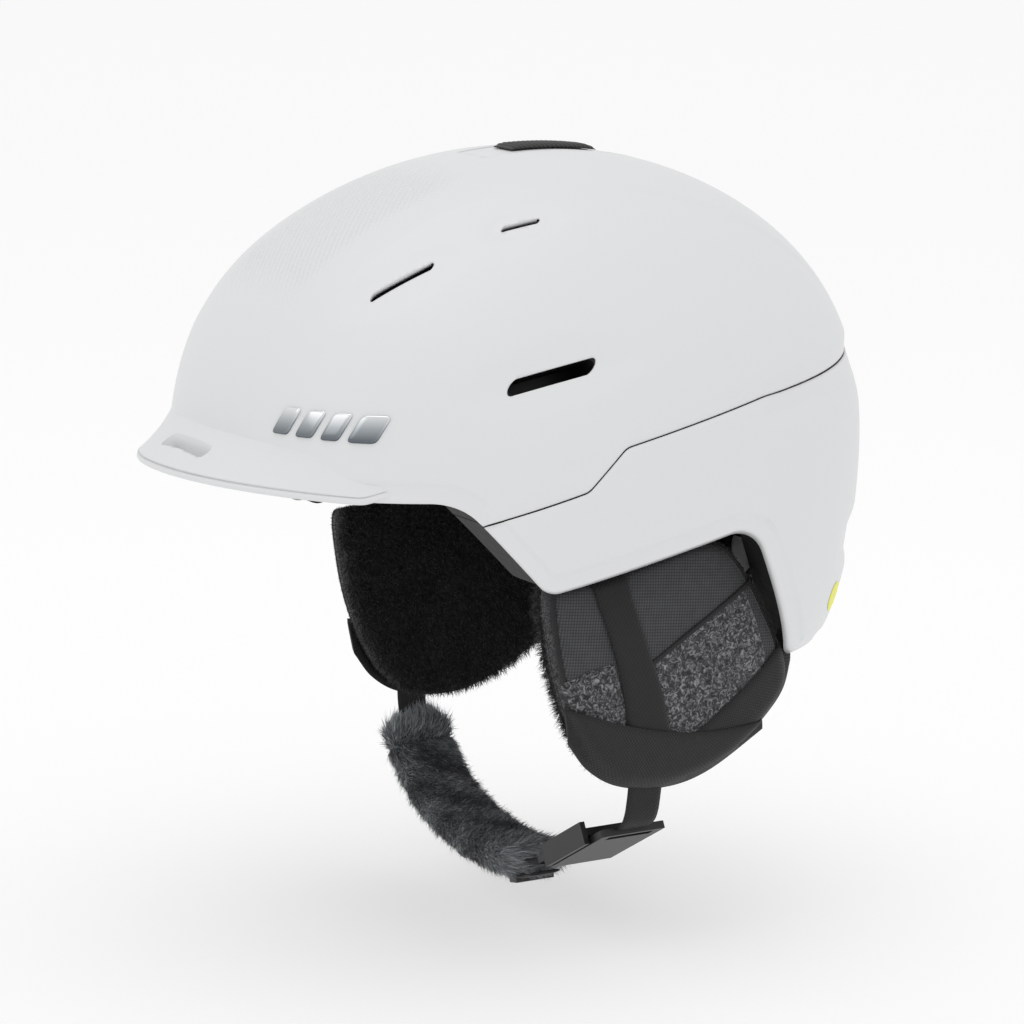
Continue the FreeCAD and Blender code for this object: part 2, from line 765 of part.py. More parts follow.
left_ear, left_hole = knuckle(9, clip_half, 0.0)
right_ear, right_hole = knuckle(-clip_half, -9, 0.0)
webs = [box((x0, hinge_at.y - 7.2, hinge_at.z - 5), (x1, hinge_at.y, hinge_at.z))
        for x0, x1 in ((9, clip_half), (-clip_half, -9))]
hull = layer(-0.2, 6, (150, 190), (-20, 20), 9, 9)
base = base.fuse([left_ear, right_ear] + webs).cut(hull).removeSplitter()
base = base.cut(left_hole).cut(right_hole)
base = max(base.Solids, key=lambda s: s.Volume)
freeform("goggle_clip_base", base)
middle_ear, middle_hole = knuckle(-8.7, 8.7, size("hinge_fit"))
flap = layer(-9.0, -6.2, clip_angles, (-3.2, 3.2), 9, 7)
flap = flap.fuse(middle_ear).cut(middle_hole).removeSplitter()
freeform("goggle_clip", max(flap.Solids, key=lambda s: s.Volume))
freeform("goggle_clip_pin", Part.makeCylinder(
    pin_r, size("clip_width"), hinge_at - x_way * clip_half, x_way))

# ---------------------------------------------------------------- badge and sticker
freeform("brow_badge", layer(-0.9, -0.1, (31.2, 34.4), (15.5, 31.5), 5, 15))
spot, spot_way = shell_point(188.5, 42.5), shell_normal(188.5, 42.5)
disc = Part.makeCylinder(6.0, 8, spot - spot_way * 4, spot_way)
freeform("liner_sticker", layer(-0.3, -0.05, (182, 195), (36, 49), 9, 9).common(disc))

# ---------------------------------------------------------------- ear pads
def side_plate(label, points, x, rule, closed_curve=False):
    # a flat piece standing in the side plane at x, its outline as (y, z) points
    body = new_body(label)
    sketch = sketch_on(body, "YZ_Plane", "Outline", 0.0)
    if closed_curve:
        curve = Part.BSplineCurve()
        curve.interpolate([Vector(y, z, 0) for y, z in points], PeriodicFlag=True)
        sketch.addGeometry(curve)
    else:
        polygon(sketch, points)
    pad(body, sketch, rule)
    body.setExpression("Placement.Base.x", x)
    doc.recompute()
    return body


ear_outline = [(-37, -27), (-36.5, -46), (-32, -63), (-25, -81), (-15, -95), (-1, -102.6),
               (14, -105), (30, -103.5), (46, -97), (60, -86.5), (68.5, -75), (66, -60),
               (59, -42), (52, -28), (43, -16.5), (30, -14), (8, -18.5), (-16, -23.5), (-29, -24.5)]


def shrunk(points, share, lift=0.0):
    y = sum(p[0] for p in points) / len(points)
    z = sum(p[1] for p in points) / len(points)
    return [(y + (a - y) * share, z + (b - z) * share + lift) for a, b in points]


pad_x = "Sizes.ear_pad_inner_x"
cover_x = pad_x + " + Sizes.ear_pad_wall + Sizes.soft_gap"
strap_x = cover_x + " + Sizes.ear_cover_wall + Sizes.soft_gap"
sleeve_x = strap_x + " + Sizes.webbing_wall + Sizes.soft_gap"
pieces = {
    "ear_pad": (ear_outline, pad_x, "Sizes.ear_pad_wall", True),
    "ear_cover": (shrunk(ear_outline, 0.93), cover_x, "Sizes.ear_cover_wall", True),
    "strap_front": ([(-18.5, -19), (-17.5, -28), (-9.5, -49), (-1, -81), (0.5, -100), (15.5, -100),
                     (15, -84), (5.6, -52), (-2.6, -27), (-3.5, -17)],
                    strap_x, "Sizes.webbing_wall", False),
    "strap_rear": ([(62, -55), (55.5, -66), (40, -77), (24, -86), (26, -99), (40, -96), (54, -87),
                    (65, -74), (68, -66)], strap_x, "Sizes.webbing_wall", False),
    "ear_sleeve": ([(-25, -76), (6, -83), (34, -86), (56, -79), (52, -91.5), (36, -100.5),
                    (14, -104), (-3, -102), (-17, -93)], sleeve_x, "Sizes.sleeve_wall", False),
    "ear_mount": ([(-27, -20.5), (-16, -20), (8, -15), (30, -10.5), (34, -9), (34, 6), (-27, 6)],
                  pad_x + " + 6", "2.4", False),
}
for name, (points, x, rule, curved) in pieces.items():
    mirrored(side_plate(name + "_left", points, x, rule, curved), name + "_right")

# ---------------------------------------------------------------- chin strap and buckle
tilt = 29.0
buckle_at = Vector(57, 7, -137)
buckle_turn = Rotation(Vector(0, 1, 0), -tilt)


def buckle_spot(u, w, v=0.0):
    # u runs along the strap to the wearer's left, v back, w up towards the chin
    return buckle_at + buckle_turn.multVec(Vector(u, v, w))


def buckle_body(label, lift):
    body = new_body(label)
    body.Placement = Placement(buckle_spot(0, lift), buckle_turn)
    return body


clear = size("buckle_clear")
base_w, half_v = size("buckle_base"), size("buckle_width") / 2
long = size("buckle_length")
female = buckle_body("buckle_tray", -clear / 2 - base_w)
sketch = sketch_on(female, "XY_Plane", "Tray")
centred_rectangle(sketch, long + 8, 2 * half_v, "Sizes.buckle_length + 8", "Sizes.buckle_width", 4, 0)
pad(female, sketch, "Sizes.buckle_base")
sketch = sketch_on(female, "XY_Plane", "RearWall", base_w)
centred_rectangle(sketch, long, 3, "Sizes.buckle_length", "3", 0, half_v - 1.5)
pad(female, sketch, "4")
sketch = sketch_on(female, "XY_Plane", "Groove", base_w)
centred_rectangle(sketch, 8.4, 26, "8.4", "26", 0, -3)
pocket(female, sketch, "2")
sketch = sketch_on(female, "XY_Plane", "Window", base_w)
centred_rectangle(sketch, 4.2, 20, "4.2", "Sizes.webbing_width + 5", long / 2 + 3.8, 0)
pocket(female, sketch, "Sizes.buckle_base")
for u in (-10, 10):
    sketch = sketch_on(female, "XY_Plane", "MagnetSeat", base_w)
    circle(sketch, size("magnet_radius") + 0.1, "Sizes.magnet_radius + 0.1", u, -4)
    pocket(female, sketch, "Sizes.magnet_wall + 0.3")
rounded(female, 1.5, lambda e: along(Vector(0, 0, 1))(e) and abs(e.BoundBox.Center.y + half_v) < 0.1)

male = buckle_body("buckle_latch", clear / 2)
sketch = sketch_on(male, "XY_Plane", "Plate")
centred_rectangle(sketch, 32, 17, "32", "17", -1, -5)
pad(male, sketch, "Sizes.buckle_base")
sketch = sketch_on(male, "XY_Plane", "LoopEnd")
centred_rectangle(sketch, 11, 17, "11", "17", -22, -5)
pad(male, sketch, "Sizes.buckle_base")
sketch = sketch_on(male, "XY_Plane", "Window", base_w)
centred_rectangle(sketch, 4.2, 13.4, "4.2", "13.4", -22.4, -5)
pocket(male, sketch, "Sizes.buckle_base")
sketch = sketch_on(male, "XY_Plane", "Rib")
centred_rectangle(sketch, 6, 15, "6", "15", 0, -5)
pad(male, sketch, "2", reverse=True)
sketch = sketch_on(male, "XY_Plane", "Lever", -clear - base_w + 0.3)
centred_rectangle(sketch, 34, 2.2, "34", "2.2", 0, -half_v - 1.7)
pad(male, sketch, "9")
sketch = sketch_on(male, "XY_Plane", "LeverRoot")
centred_rectangle(sketch, 30, 4, "30", "4", 0, -half_v - 0.2)
pad(male, sketch, "Sizes.buckle_base")
for u in (-10, 10):
    sketch = sketch_on(male, "XY_Plane", "MagnetSeat")
    circle(sketch, size("magnet_radius") + 0.1, "Sizes.magnet_radius + 0.1", u, -4)
    pocket(male, sketch, "Sizes.magnet_wall + 0.3", reverse=True)


def magnets(label, low):
    discs = [Part.makeCylinder(size("magnet_radius"), size("magnet_wall"), Vector(u, -4, low))
             for u in (-10, 10)]
    shape = Part.makeCompound(discs)
    shape.Placement = Placement(buckle_at, buckle_turn)
    return freeform(label, shape)


magnets("tray_magnets", -clear / 2 - size("magnet_wall") - 0.1)
magnets("latch_magnets", clear / 2 + 0.1)

wide, thin = size("webbing_width"), size("webbing_wall")
back = Vector(0, 1, 0)
pivot_z = -114.0
lap_x = size("ear_pad_inner_x") + 9.75
tray_end, latch_end = buckle_spot(long / 2 + 8.6, -2), buckle_spot(-28.2, 2)
route_left = [Vector(lap_x, 8, pivot_z + 1), Vector(86.3, 7.9, -116.8), Vector(84.4, 7.5, -120.6),
              Vector(tray_end.x, 7.0, tray_end.z)]
route_right = [Vector(-lap_x, 2, pivot_z + 1), Vector(-85.4, 2.2, -121), Vector(-79.5, 2.6, -131),
               Vector(-67.5, 3.0, -141.5), Vector(-51, 3.3, -149.5), Vector(-32, 3.5, -154),
               Vector(-10, 3.2, -155.4), Vector(10, 2.6, -154.0), Vector(latch_end.x, 2.0, latch_end.z)]


def webbing(label, route, width, wall, lift=0.0):
    across, thick = path_frames(route, back)
    shifted = [p + t * lift for p, t in zip(route, thick)]
    return ribbon(shifted, across, thick, width, wall)


freeform("chin_strap_left", webbing("left", route_left, wide, thin))
freeform("chin_strap_right", webbing("right", route_right, wide * 0.87, thin))
pad_route = [Vector(-86.2, 2.3, -118.6)] + route_right[2:-1]
sleeve = webbing("pad", pad_route, size("chin_pad_width") - 2, size("chin_pad_wall"))
tunnel = webbing("tunnel", route_right, wide + 1, thin + 1)
freeform("chin_pad", max(sleeve.cut(tunnel).Solids, key=lambda s: s.Volume))

across, thick = path_frames(route_right, back)
down = [t if t.z < 0 else -t for t in thick]
drop = size("chin_pad_wall") / 2 + 1.2 + thin / 2
tail_route = [p + d * drop for p, d in zip(route_right[4:8], down[4:8])]
tail_route.append(buckle_spot(-27, -4.6, -5))
freeform("strap_tail", webbing("tail", tail_route, wide * 0.87, thin))


def keeper(index, length, grow):
    # a flat loop round the tail, its long side along the strap
    way = (tail_route[index + 1] - tail_route[index - 1]).normalize()
    turn = Rotation(way, back, way.cross(back), "XYZ")
    half = wide * 0.87 / 2
    outer = box((-length / 2, -half - 2, -thin / 2 - 1.4 - grow), (length / 2, half + 2, thin / 2 + 1.1))
    inner = box((-length, -half - 0.4, -thin / 2 - 0.3), (length, half + 0.4, thin / 2 + 0.35))
    loop = outer.cut(inner)
    loop.Placement = Placement(tail_route[index], turn)
    return loop


freeform("strap_keepers", Part.makeCompound([keeper(1, 6, 0.0), keeper(3, 6, 0.0)]))
slide_at = route_right[3] + down[3] * (size("chin_pad_wall") / 2 + 2.4)
slide_way = (route_right[4] - route_right[2]).normalize()
frame = box((-8, -9, -2), (8, 9, 2)).cut(box((-5.5, -7, -3), (-1.2, 7, 3)))
frame = frame.cut(box((1.2, -7, -3), (5.5, 7, 3)))
frame.Placement = Placement(slide_at, Rotation(slide_way, back, slide_way.cross(back), "XYZ"))
freeform("strap_adjuster", frame)

for side, y, name in ((1, 8.0, "left"), (-1, 2.0, "right")):
    x = side * (lap_x + thin + 0.4)
    stub = box((x - thin / 2, y - wide / 2, -size("ear_pad_bottom") - 3.3),
               (x + thin / 2, y + wide / 2, -size("ear_pad_bottom") - 0.9))
    freeform("strap_drop_" + name, stub)

# ---------------------------------------------------------------- checks and files
doc.recompute()
for item in doc.Objects:
    if "Invalid" in item.State or "Error" in item.State:
        raise RuntimeError(f"{item.Label} did not compute: {item.State}")
for item in subparts:
    shape = item.Shape
    if shape.isNull() or not shape.isValid() or shape.Volume <= 0:
        raise RuntimeError(f"{item.Label} has no sound shape")
for item in subparts:
    item.Shape.exportStep(f"parts/{item.Label}.step")
    print(item.Label, round(item.Shape.Volume / 1000, 2), "cm3", len(item.Shape.Solids), "solids")
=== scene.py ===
import bpy
import numpy as np
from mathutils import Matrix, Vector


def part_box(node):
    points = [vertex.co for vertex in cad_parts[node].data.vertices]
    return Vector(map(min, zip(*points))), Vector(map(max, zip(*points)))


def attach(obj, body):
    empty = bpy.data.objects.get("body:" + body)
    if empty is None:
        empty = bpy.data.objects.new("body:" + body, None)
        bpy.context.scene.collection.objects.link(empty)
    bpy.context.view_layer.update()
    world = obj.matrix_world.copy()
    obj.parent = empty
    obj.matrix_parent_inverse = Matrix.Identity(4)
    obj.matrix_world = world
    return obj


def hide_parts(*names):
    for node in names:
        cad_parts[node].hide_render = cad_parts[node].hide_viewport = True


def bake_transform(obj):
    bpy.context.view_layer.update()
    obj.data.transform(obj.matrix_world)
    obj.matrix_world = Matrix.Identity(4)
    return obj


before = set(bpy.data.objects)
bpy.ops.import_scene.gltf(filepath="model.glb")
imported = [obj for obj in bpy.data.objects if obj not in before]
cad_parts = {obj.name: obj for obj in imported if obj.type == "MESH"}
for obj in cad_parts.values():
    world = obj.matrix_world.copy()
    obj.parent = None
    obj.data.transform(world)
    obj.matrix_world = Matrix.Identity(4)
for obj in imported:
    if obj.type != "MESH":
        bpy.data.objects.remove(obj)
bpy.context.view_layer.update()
mm = 0.001
print("frame loaded:", len(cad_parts), "nodes")


# ---- small tools -------------------------------------------------------
def linear(code):
    # sRGB hex to linear light
    parts = np.array([int(code[i:i + 2], 16) for i in (1, 3, 5)]) / 255
    low = parts / 12.92
    return (*np.where(parts <= 0.04045, low, ((parts + 0.055) / 1.055) ** 2.4), 1.0)


def addNode(tree, kind, settings=None, links=None):
    node = tree.nodes.new(kind)
    for key, value in (settings or {}).items():
        if isinstance(key, int) or key in node.inputs:
            node.inputs[key].default_value = value
        else:
            setattr(node, key, value)
    for key, source in (links or {}).items():
        tree.links.new(source, node.inputs[key])
    return node


def finish(name, colour, roughness, **sockets):
    # a new material with its base colour and roughness set on the shader
    made = bpy.data.materials.new(name)
    made.use_nodes = True
    tree = made.node_tree
    shader = tree.nodes["Principled BSDF"]
    shader.inputs["Base Color"].default_value = linear(colour)
    shader.inputs["Roughness"].default_value = roughness
    for word, value in sockets.items():
        shader.inputs[word.replace("_", " ")].default_value = value
    return made, tree, shader


def objectPlace(tree, scale=(1, 1, 1), turn=(0, 0, 0)):
    coords = addNode(tree, "ShaderNodeTexCoord")
    return addNode(tree, "ShaderNodeMapping", {"Scale": scale, "Rotation": turn},
                   {"Vector": coords.outputs["Object"]}).outputs["Vector"]


def surfacePlace(tree, scale=(1, 1, 1), turn=(0, 0, 0)):
    # the piece's own map, which is laid out in millimetres
    coords = addNode(tree, "ShaderNodeUVMap", {"uv_map": "cloth"})
    return addNode(tree, "ShaderNodeMapping", {"Scale": scale, "Rotation": turn},
                   {"Vector": coords.outputs["UV"]}).outputs["Vector"]


def bump(tree, shader, height, strength, distance, normal=None):
    links = {"Height": height}
    if normal:
        links["Normal"] = normal
    node = addNode(tree, "ShaderNodeBump", {"Strength": strength, "Distance": distance}, links)
    tree.links.new(node.outputs["Normal"], shader.inputs["Normal"])
    return node.outputs["Normal"]


def colourRamp(tree, factor, *stops):
    ramp = addNode(tree, "ShaderNodeValToRGB", None, {"Fac": factor})
    items = ramp.color_ramp.elements
    for index, (place, code) in enumerate(stops):
        item = items[index] if index < 2 else items.new(place)
        item.position, item.color = place, linear(code)
    return ramp.outputs["Color"]


def buildMesh(name, points, quads, triangles, material, maps=None):
    # points in millimetres; faces turned outwards by the sign of the enclosed volume
    quads = np.asarray(quads, int).reshape(-1, 4)
    triangles = np.asarray(triangles, int).reshape(-1, 3)
    points = np.asarray(points, float)
    centred = points - points.mean(0)
    fan = np.vstack([quads[:, :3], quads[:, [0, 2, 3]], triangles])
    a, b, c = centred[fan[:, 0]], centred[fan[:, 1]], centred[fan[:, 2]]
    if np.einsum("ij,ij->", a, np.cross(b, c)) < 0:
        quads, triangles = quads[:, ::-1], triangles[:, ::-1]
        if maps is not None:
            maps = np.vstack([maps[:quads.size].reshape(-1, 4, 2)[:, ::-1].reshape(-1, 2),
                              maps[quads.size:].reshape(-1, 3, 2)[:, ::-1].reshape(-1, 2)])
    loops = np.concatenate([quads.ravel(), triangles.ravel()]).astype(np.int32)
    starts = np.concatenate([np.arange(len(quads)) * 4,
                             quads.size + np.arange(len(triangles)) * 3]).astype(np.int32)
    mesh = bpy.data.meshes.new(name)
    mesh.vertices.add(len(points))
    mesh.vertices.foreach_set("co", (points * mm).astype(np.float32).ravel())
    mesh.loops.add(len(loops))
    mesh.loops.foreach_set("vertex_index", loops)
    mesh.polygons.add(len(starts))
    mesh.polygons.foreach_set("loop_start", starts)
    if maps is not None:
        layer = mesh.uv_layers.new(name="cloth")
        layer.data.foreach_set("uv", maps.astype(np.float32).ravel())
    mesh.update(calc_edges=True)
    mesh.validate()
    mesh.shade_smooth()
    mesh.materials.append(material)
    piece = bpy.data.objects.new(name, mesh)
    bpy.context.scene.collection.objects.link(piece)
    return piece


def tube(name, points, material, looped=False, reach=None, girth=None):
    # rows of closed rings, row by row; open ends are closed by a fan round their middle
    rows, columns = points.shape[:2]
    last = rows if looped else rows - 1
    i, j = np.arange(last)[:, None], np.arange(columns)[None]
    nextRow, nextColumn = (i + 1) % rows, (j + 1) % columns
    quads = np.stack([i * columns + j, i * columns + nextColumn,
                      nextRow * columns + nextColumn, nextRow * columns + j], -1).reshape(-1, 4)
    flat = points.reshape(-1, 3)
    triangles = np.zeros((0, 3), int)
    if not looped:
        flat = np.vstack([flat, points[0].mean(0), points[-1].mean(0)])
        k = np.arange(columns)
        first, final = rows * columns, rows * columns + 1
        low = (rows - 1) * columns
        triangles = np.vstack([np.stack([(k + 1) % columns, k, np.full(columns, first)], -1),
                               np.stack([low + k, low + (k + 1) % columns, np.full(columns, final)], -1)])
    maps = None
    if reach is not None:
        reach = np.broadcast_to(np.asarray(reach, float), (last + 1,))
        u = np.stack([girth[j + 0 * i], girth[j + 1 + 0 * i], girth[j + 1 + 0 * i], girth[j + 0 * i]], -1)
        v = np.stack([reach[i + 0 * j], reach[i + 0 * j], reach[i + 1 + 0 * j], reach[i + 1 + 0 * j]], -1)
        maps = np.vstack([np.stack([u, v], -1).reshape(-1, 2), np.zeros((triangles.size, 2))])
    return buildMesh(name, flat, quads, triangles, material, maps)


def settle(piece, body, slot, *nodes):
    # body is the body that carries the piece, or None for webbing that runs between two bodies and is left
    # unattached
    if body:
        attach(piece, body)
    if nodes:
        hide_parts(*nodes)
    return piece


def applyModifiers(piece):
    graph = bpy.context.evaluated_depsgraph_get()
    mesh = bpy.data.meshes.new_from_object(piece.evaluated_get(graph))
    piece.modifiers.clear()
    piece.data = mesh
    return piece


def cutAway(piece, cutters):
    # takes the cutters out of the piece, then removes them
    for cutter in cutters:
        take = piece.modifiers.new("cut", "BOOLEAN")
        take.operation, take.solver, take.object = "DIFFERENCE", "EXACT", cutter
    applyModifiers(piece)
    for cutter in cutters:
        bpy.data.objects.remove(cutter)
    return piece


def smoothLine(points, count, closed=False):
    # a curve through the points, its slope at each taken from its two neighbours,
    # then spaced evenly by length
    p = np.asarray(points, float)
    if closed:
        wide = np.vstack([p[-1:], p, p[:2]])
    else:
        wide = np.vstack([2 * p[:1] - p[1:2], p, 2 * p[-1:] - p[-2:-1]])
    slopes = (wide[2:] - wide[:-2]) / 2
    places = wide[1:-1]
    t = np.linspace(0, len(places) - 1, 40 * len(places))
    k = np.minimum(t.astype(int), len(places) - 2)
    f = (t - k)[:, None]
    line = ((2 * f ** 3 - 3 * f ** 2 + 1) * places[k] + (f ** 3 - 2 * f ** 2 + f) * slopes[k]
            + (3 * f ** 2 - 2 * f ** 3) * places[k + 1] + (f ** 3 - f ** 2) * slopes[k + 1])
    length = np.concatenate([[0], np.cumsum(np.linalg.norm(np.diff(line, axis=0), axis=1))])
    wanted = np.linspace(0, length[-1], count + 1 if closed else count)
    even = np.stack([np.interp(wanted, length, line[:, n]) for n in range(line.shape[1])], -1)
    return even[:-1] if closed else even


def unit(vectors):
    return vectors / np.maximum(np.linalg.norm(vectors, axis=-1, keepdims=True), 1e-9)


def easing(value):
    value = np.clip(value, 0, 1)
    return value * value * (3 - 2 * value)


# ---- materials ---------------------------------------------------------
# moulded polycarbonate under matte white paint: soft broad shine, faint orange peel
shellPaint, tree, shader = finish("mattePaintedPolycarbonate", "#DEDFE0", 0.42, **{"IOR": 1.5})
grain = addNode(tree, "ShaderNodeTexNoise", {"Scale": 900.0, "Detail": 2.0}, {"Vector": objectPlace(tree)})
edge = addNode(tree, "ShaderNodeBevel", {"Radius": 0.0006, "samples": 4})
bump(tree, shader, grain.outputs["Fac"], 0.06, 0.0001, edge.outputs["Normal"])


def calculated(tree, operation, first, second=None, clamp=False):
    # one arithmetic node; a number or another node's output may stand on either side
    node = addNode(tree, "ShaderNodeMath", {"operation": operation, "use_clamp": clamp})
    for place, value in enumerate((first, second)):
        if value is None:
            continue
        if isinstance(value, (int, float)):
            node.inputs[place].default_value = value
        else:
            tree.links.new(value, node.inputs[place])
    return node.outputs[0]


# rows of fine dots 3 mm apart on the front of the crown, fading out at the panel's edges
split = addNode(tree, "ShaderNodeSeparateXYZ", {}, {0: objectPlace(tree, scale=(1000, 1000, 1000))})
sideways, forwards = split.outputs["X"], split.outputs["Y"]
dots = calculated(tree, "MULTIPLY", calculated(tree, "SINE", calculated(tree, "MULTIPLY", sideways, 2.09)),
                  calculated(tree, "SINE", calculated(tree, "MULTIPLY", forwards, 2.09)))
offMiddle = calculated(tree, "ABSOLUTE", sideways)
offSide = calculated(tree, "DIVIDE", calculated(tree, "SUBTRACT", 34.0, offMiddle), 8.0, True)
offFront = calculated(tree, "DIVIDE", calculated(tree, "ADD", forwards, 118.0), 14.0, True)
offBack = calculated(tree, "DIVIDE", calculated(tree, "SUBTRACT", -28.0, forwards), 24.0, True)
panel = calculated(tree, "MULTIPLY", calculated(tree, "MULTIPLY", offSide, offFront), offBack)
relief = calculated(tree, "MULTIPLY", dots, panel)
raised = addNode(tree, "ShaderNodeBump", {"Strength": 0.5, "Distance": 0.0004}, {"Height": relief})
previous = shader.inputs["Normal"].links[0].from_socket
tree.links.new(previous, raised.inputs["Normal"])
tree.links.new(raised.outputs["Normal"], shader.inputs["Normal"])

brimPaint, tree, shader = finish("matteMouldedBrim", "#DEDFE0", 0.5, **{"IOR": 1.5})
grain = addNode(tree, "ShaderNodeTexNoise", {"Scale": 1100.0, "Detail": 2.0}, {"Vector": objectPlace(tree)})
edge = addNode(tree, "ShaderNodeBevel", {"Radius": 0.0006, "samples": 4})
bump(tree, shader, grain.outputs["Fac"], 0.08, 0.0001, edge.outputs["Normal"])

# black polypropylene, spark-eroded mould: dull with a low sheen on edges
blackMoulding, tree, shader = finish("blackMouldedPolypropylene", "#101112", 0.42, **{"IOR": 1.49})
grain = addNode(tree, "ShaderNodeTexNoise", {"Scale": 1500.0, "Detail": 3.0}, {"Vector": objectPlace(tree)})
bump(tree, shader, grain.outputs["Fac"], 0.18, 0.0001)

# expanded polystyrene beads, 3 mm across, skinned black
beadFoam, tree, shader = finish("blackBeadFoam", "#191A1B", 0.7)
cells = addNode(tree, "ShaderNodeTexVoronoi", {"Scale": 330.0}, {"Vector": objectPlace(tree)})
bump(tree, shader, cells.outputs["Distance"], 0.5, 0.0004)


def weave(name, dark, light, across, along, turn=0.0, relief=0.35, roughness=0.75, sheen=0.3):
    # two crossed wave bands, multiplied: threads that pass over and under each other
    made, tree, shader = finish(name, dark, roughness, Sheen_Weight=sheen, Sheen_Roughness=0.5)
    place = surfacePlace(tree, turn=(0, 0, turn))
    warp = addNode(tree, "ShaderNodeTexWave", {"Scale": 0.314 / across, "bands_direction": "X",
                                                "Distortion": 0.4, "Detail": 1.0}, {"Vector": place})
    weft = addNode(tree, "ShaderNodeTexWave", {"Scale": 0.314 / along, "bands_direction": "Y",
                                                "Distortion": 0.4, "Detail": 1.0}, {"Vector": place})
    cross = addNode(tree, "ShaderNodeMath", {"operation": "MULTIPLY"},
                    {0: warp.outputs["Fac"], 1: weft.outputs["Fac"]})
    spots = addNode(tree, "ShaderNodeTexNoise", {"Scale": 0.25, "Detail": 4.0}, {"Vector": place})
    mixed = addNode(tree, "ShaderNodeMath", {"operation": "MULTIPLY_ADD", 1: 0.75, 2: -0.1},
                    {0: cross.outputs[0]})
    added = addNode(tree, "ShaderNodeMath", {"operation": "MULTIPLY_ADD", 1: 0.35},
                    {0: spots.outputs["Fac"], 2: mixed.outputs[0]})
    colour = colourRamp(tree, added.outputs[0], (0.0, dark), (0.85, light))
    tree.links.new(colour, shader.inputs["Base Color"])
    bump(tree, shader, cross.outputs[0], relief, 0.0003)
    return made


# thread pitch in millimetres: woven polyester cover, dense nylon webbing, knitted elastic
coverWeave = weave("wovenPolyester", "#1C1D1F", "#4C4E50", 1.15, 1.15, 0.1)
webbingWeave = weave("nylonWebbing", "#070708", "#1C1D1E", 0.9, 1.3, 0.785, 0.5, sheen=0.06)
elasticKnit = weave("knittedElastic", "#09090A", "#252627", 1.1, 0.9, 0.785, 0.6, sheen=0.08)

# wool-like felt, mottled from near black to mid grey
feltCloth, tree, shader = finish("mottledFelt", "#2A2B2D", 0.95, Sheen_Weight=0.25)
place = surfacePlace(tree)
fleck = addNode(tree, "ShaderNodeTexNoise", {"Scale": 0.5, "Detail": 5.0, "Roughness": 0.62,
                                              "Distortion": 1.6}, {"Vector": place})
colour = colourRamp(tree, fleck.outputs["Fac"], (0.36, "#0B0B0C"), (0.66, "#8B8C8E"), (0.5, "#37383A"))
tree.links.new(colour, shader.inputs["Base Color"])
bump(tree, shader, fleck.outputs["Fac"], 0.7, 0.0008)


def fleece(name, dark, light, patch, roughness=0.92, sheen=0.4, mark=(0.35, 0.7)):
    # short pile: blotches of darker and lighter fibre a few millimetres across
    made, tree, shader = finish(name, dark, roughness, Sheen_Weight=sheen, Sheen_Roughness=0.6)
    place = objectPlace(tree)
    blotch = addNode(tree, "ShaderNodeTexNoise", {"Scale": 1000 / patch, "Detail": 4.0,
                                                   "Roughness": 0.65}, {"Vector": place})
    colour = colourRamp(tree, blotch.outputs["Fac"], (mark[0], dark), (mark[1], light))
    tree.links.new(colour, shader.inputs["Base Color"])
    bump(tree, shader, blotch.outputs["Fac"], 0.6, 0.0006)
    return made


blackFleece = fleece("blackFleece", "#060606", "#1A1B1C", 5.0, sheen=0.12)
heatherFleece = fleece("heatherFleece", "#131415", "#4A4B4D", 4.0)
greyPile = fleece("greyPileBacking", "#1A1C1E", "#5A5E62", 7.0)


def fibreFinish(name, root, tip, glow=0.5):
    # each fibre has its own tint, kept in the first column of its map
    made, tree, shader = finish(name, root, 0.55, Sheen_Weight=0.2)
    coords = addNode(tree, "ShaderNodeUVMap", {"uv_map": "cloth"})
    parts = addNode(tree, "ShaderNodeSeparateXYZ", None, {"Vector": coords.outputs["UV"]})
    tint = colourRamp(tree, parts.outputs["X"], (0.0, root), (1.0, tip), (glow, root))
    tree.links.new(tint, shader.inputs["Base Color"])
    return made


blackFibre = fibreFinish("blackPileFibre", "#050505", "#2B2C2E", 0.55)
heatherFibre = fibreFinish("heatherPileFibre", "#1A1B1C", "#77797C", 0.4)
greyFibre = fibreFinish("greyPileFibre", "#2A2D31", "#C9CED2", 0.35)

steelPin, tree, shader = finish("turnedSteel", "#B9BABC", 0.3, Metallic=1.0)
nickelPlate, tree, shader = finish("nickelPlatedMagnet", "#C9C6C0", 0.22, Metallic=1.0)
# brightwork with a painted reflection: its colour darkens from its top edge to its foot, as chrome does when it
# mirrors a floor
badgeChrome, tree, shader = finish("chromedPlastic", "#8F9499", 0.16, Metallic=1.0)
split = addNode(tree, "ShaderNodeSeparateXYZ", {}, {0: objectPlace(tree, scale=(1000, 1000, 1000))})
height = addNode(tree, "ShaderNodeMapRange", {"From Min": 35.0, "From Max": 46.0}, {0: split.outputs["Z"]})
# painted reflection: darker towards the foot, near white at the top edge
colour = colourRamp(tree, height.outputs[0], (0.0, "#5C6369"), (0.45, "#A9AEB2"), (1.0, "#F4F5F6"))
tree.links.new(colour, shader.inputs["Base Color"])
yellowFilm, tree, shader = finish("yellowPrintedFilm", "#E4E200", 0.3)
speck = addNode(tree, "ShaderNodeTexNoise", {"Scale": 500.0}, {"Vector": objectPlace(tree)})
bump(tree, shader, speck.outputs["Fac"], 0.05, 0.0001)
slipSheet, tree, shader = finish("lowFrictionSheet", "#1B1B1D", 0.45)
speck = addNode(tree, "ShaderNodeTexNoise", {"Scale": 300.0}, {"Vector": objectPlace(tree)})
bump(tree, shader, speck.outputs["Fac"], 0.1, 0.0002)
slipRubber, tree, shader = finish("mouldedElastomer", "#2A2A2B", 0.6)
speck = addNode(tree, "ShaderNodeTexNoise", {"Scale": 700.0}, {"Vector": objectPlace(tree)})
bump(tree, shader, speck.outputs["Fac"], 0.2, 0.0002)
print("materials ready")

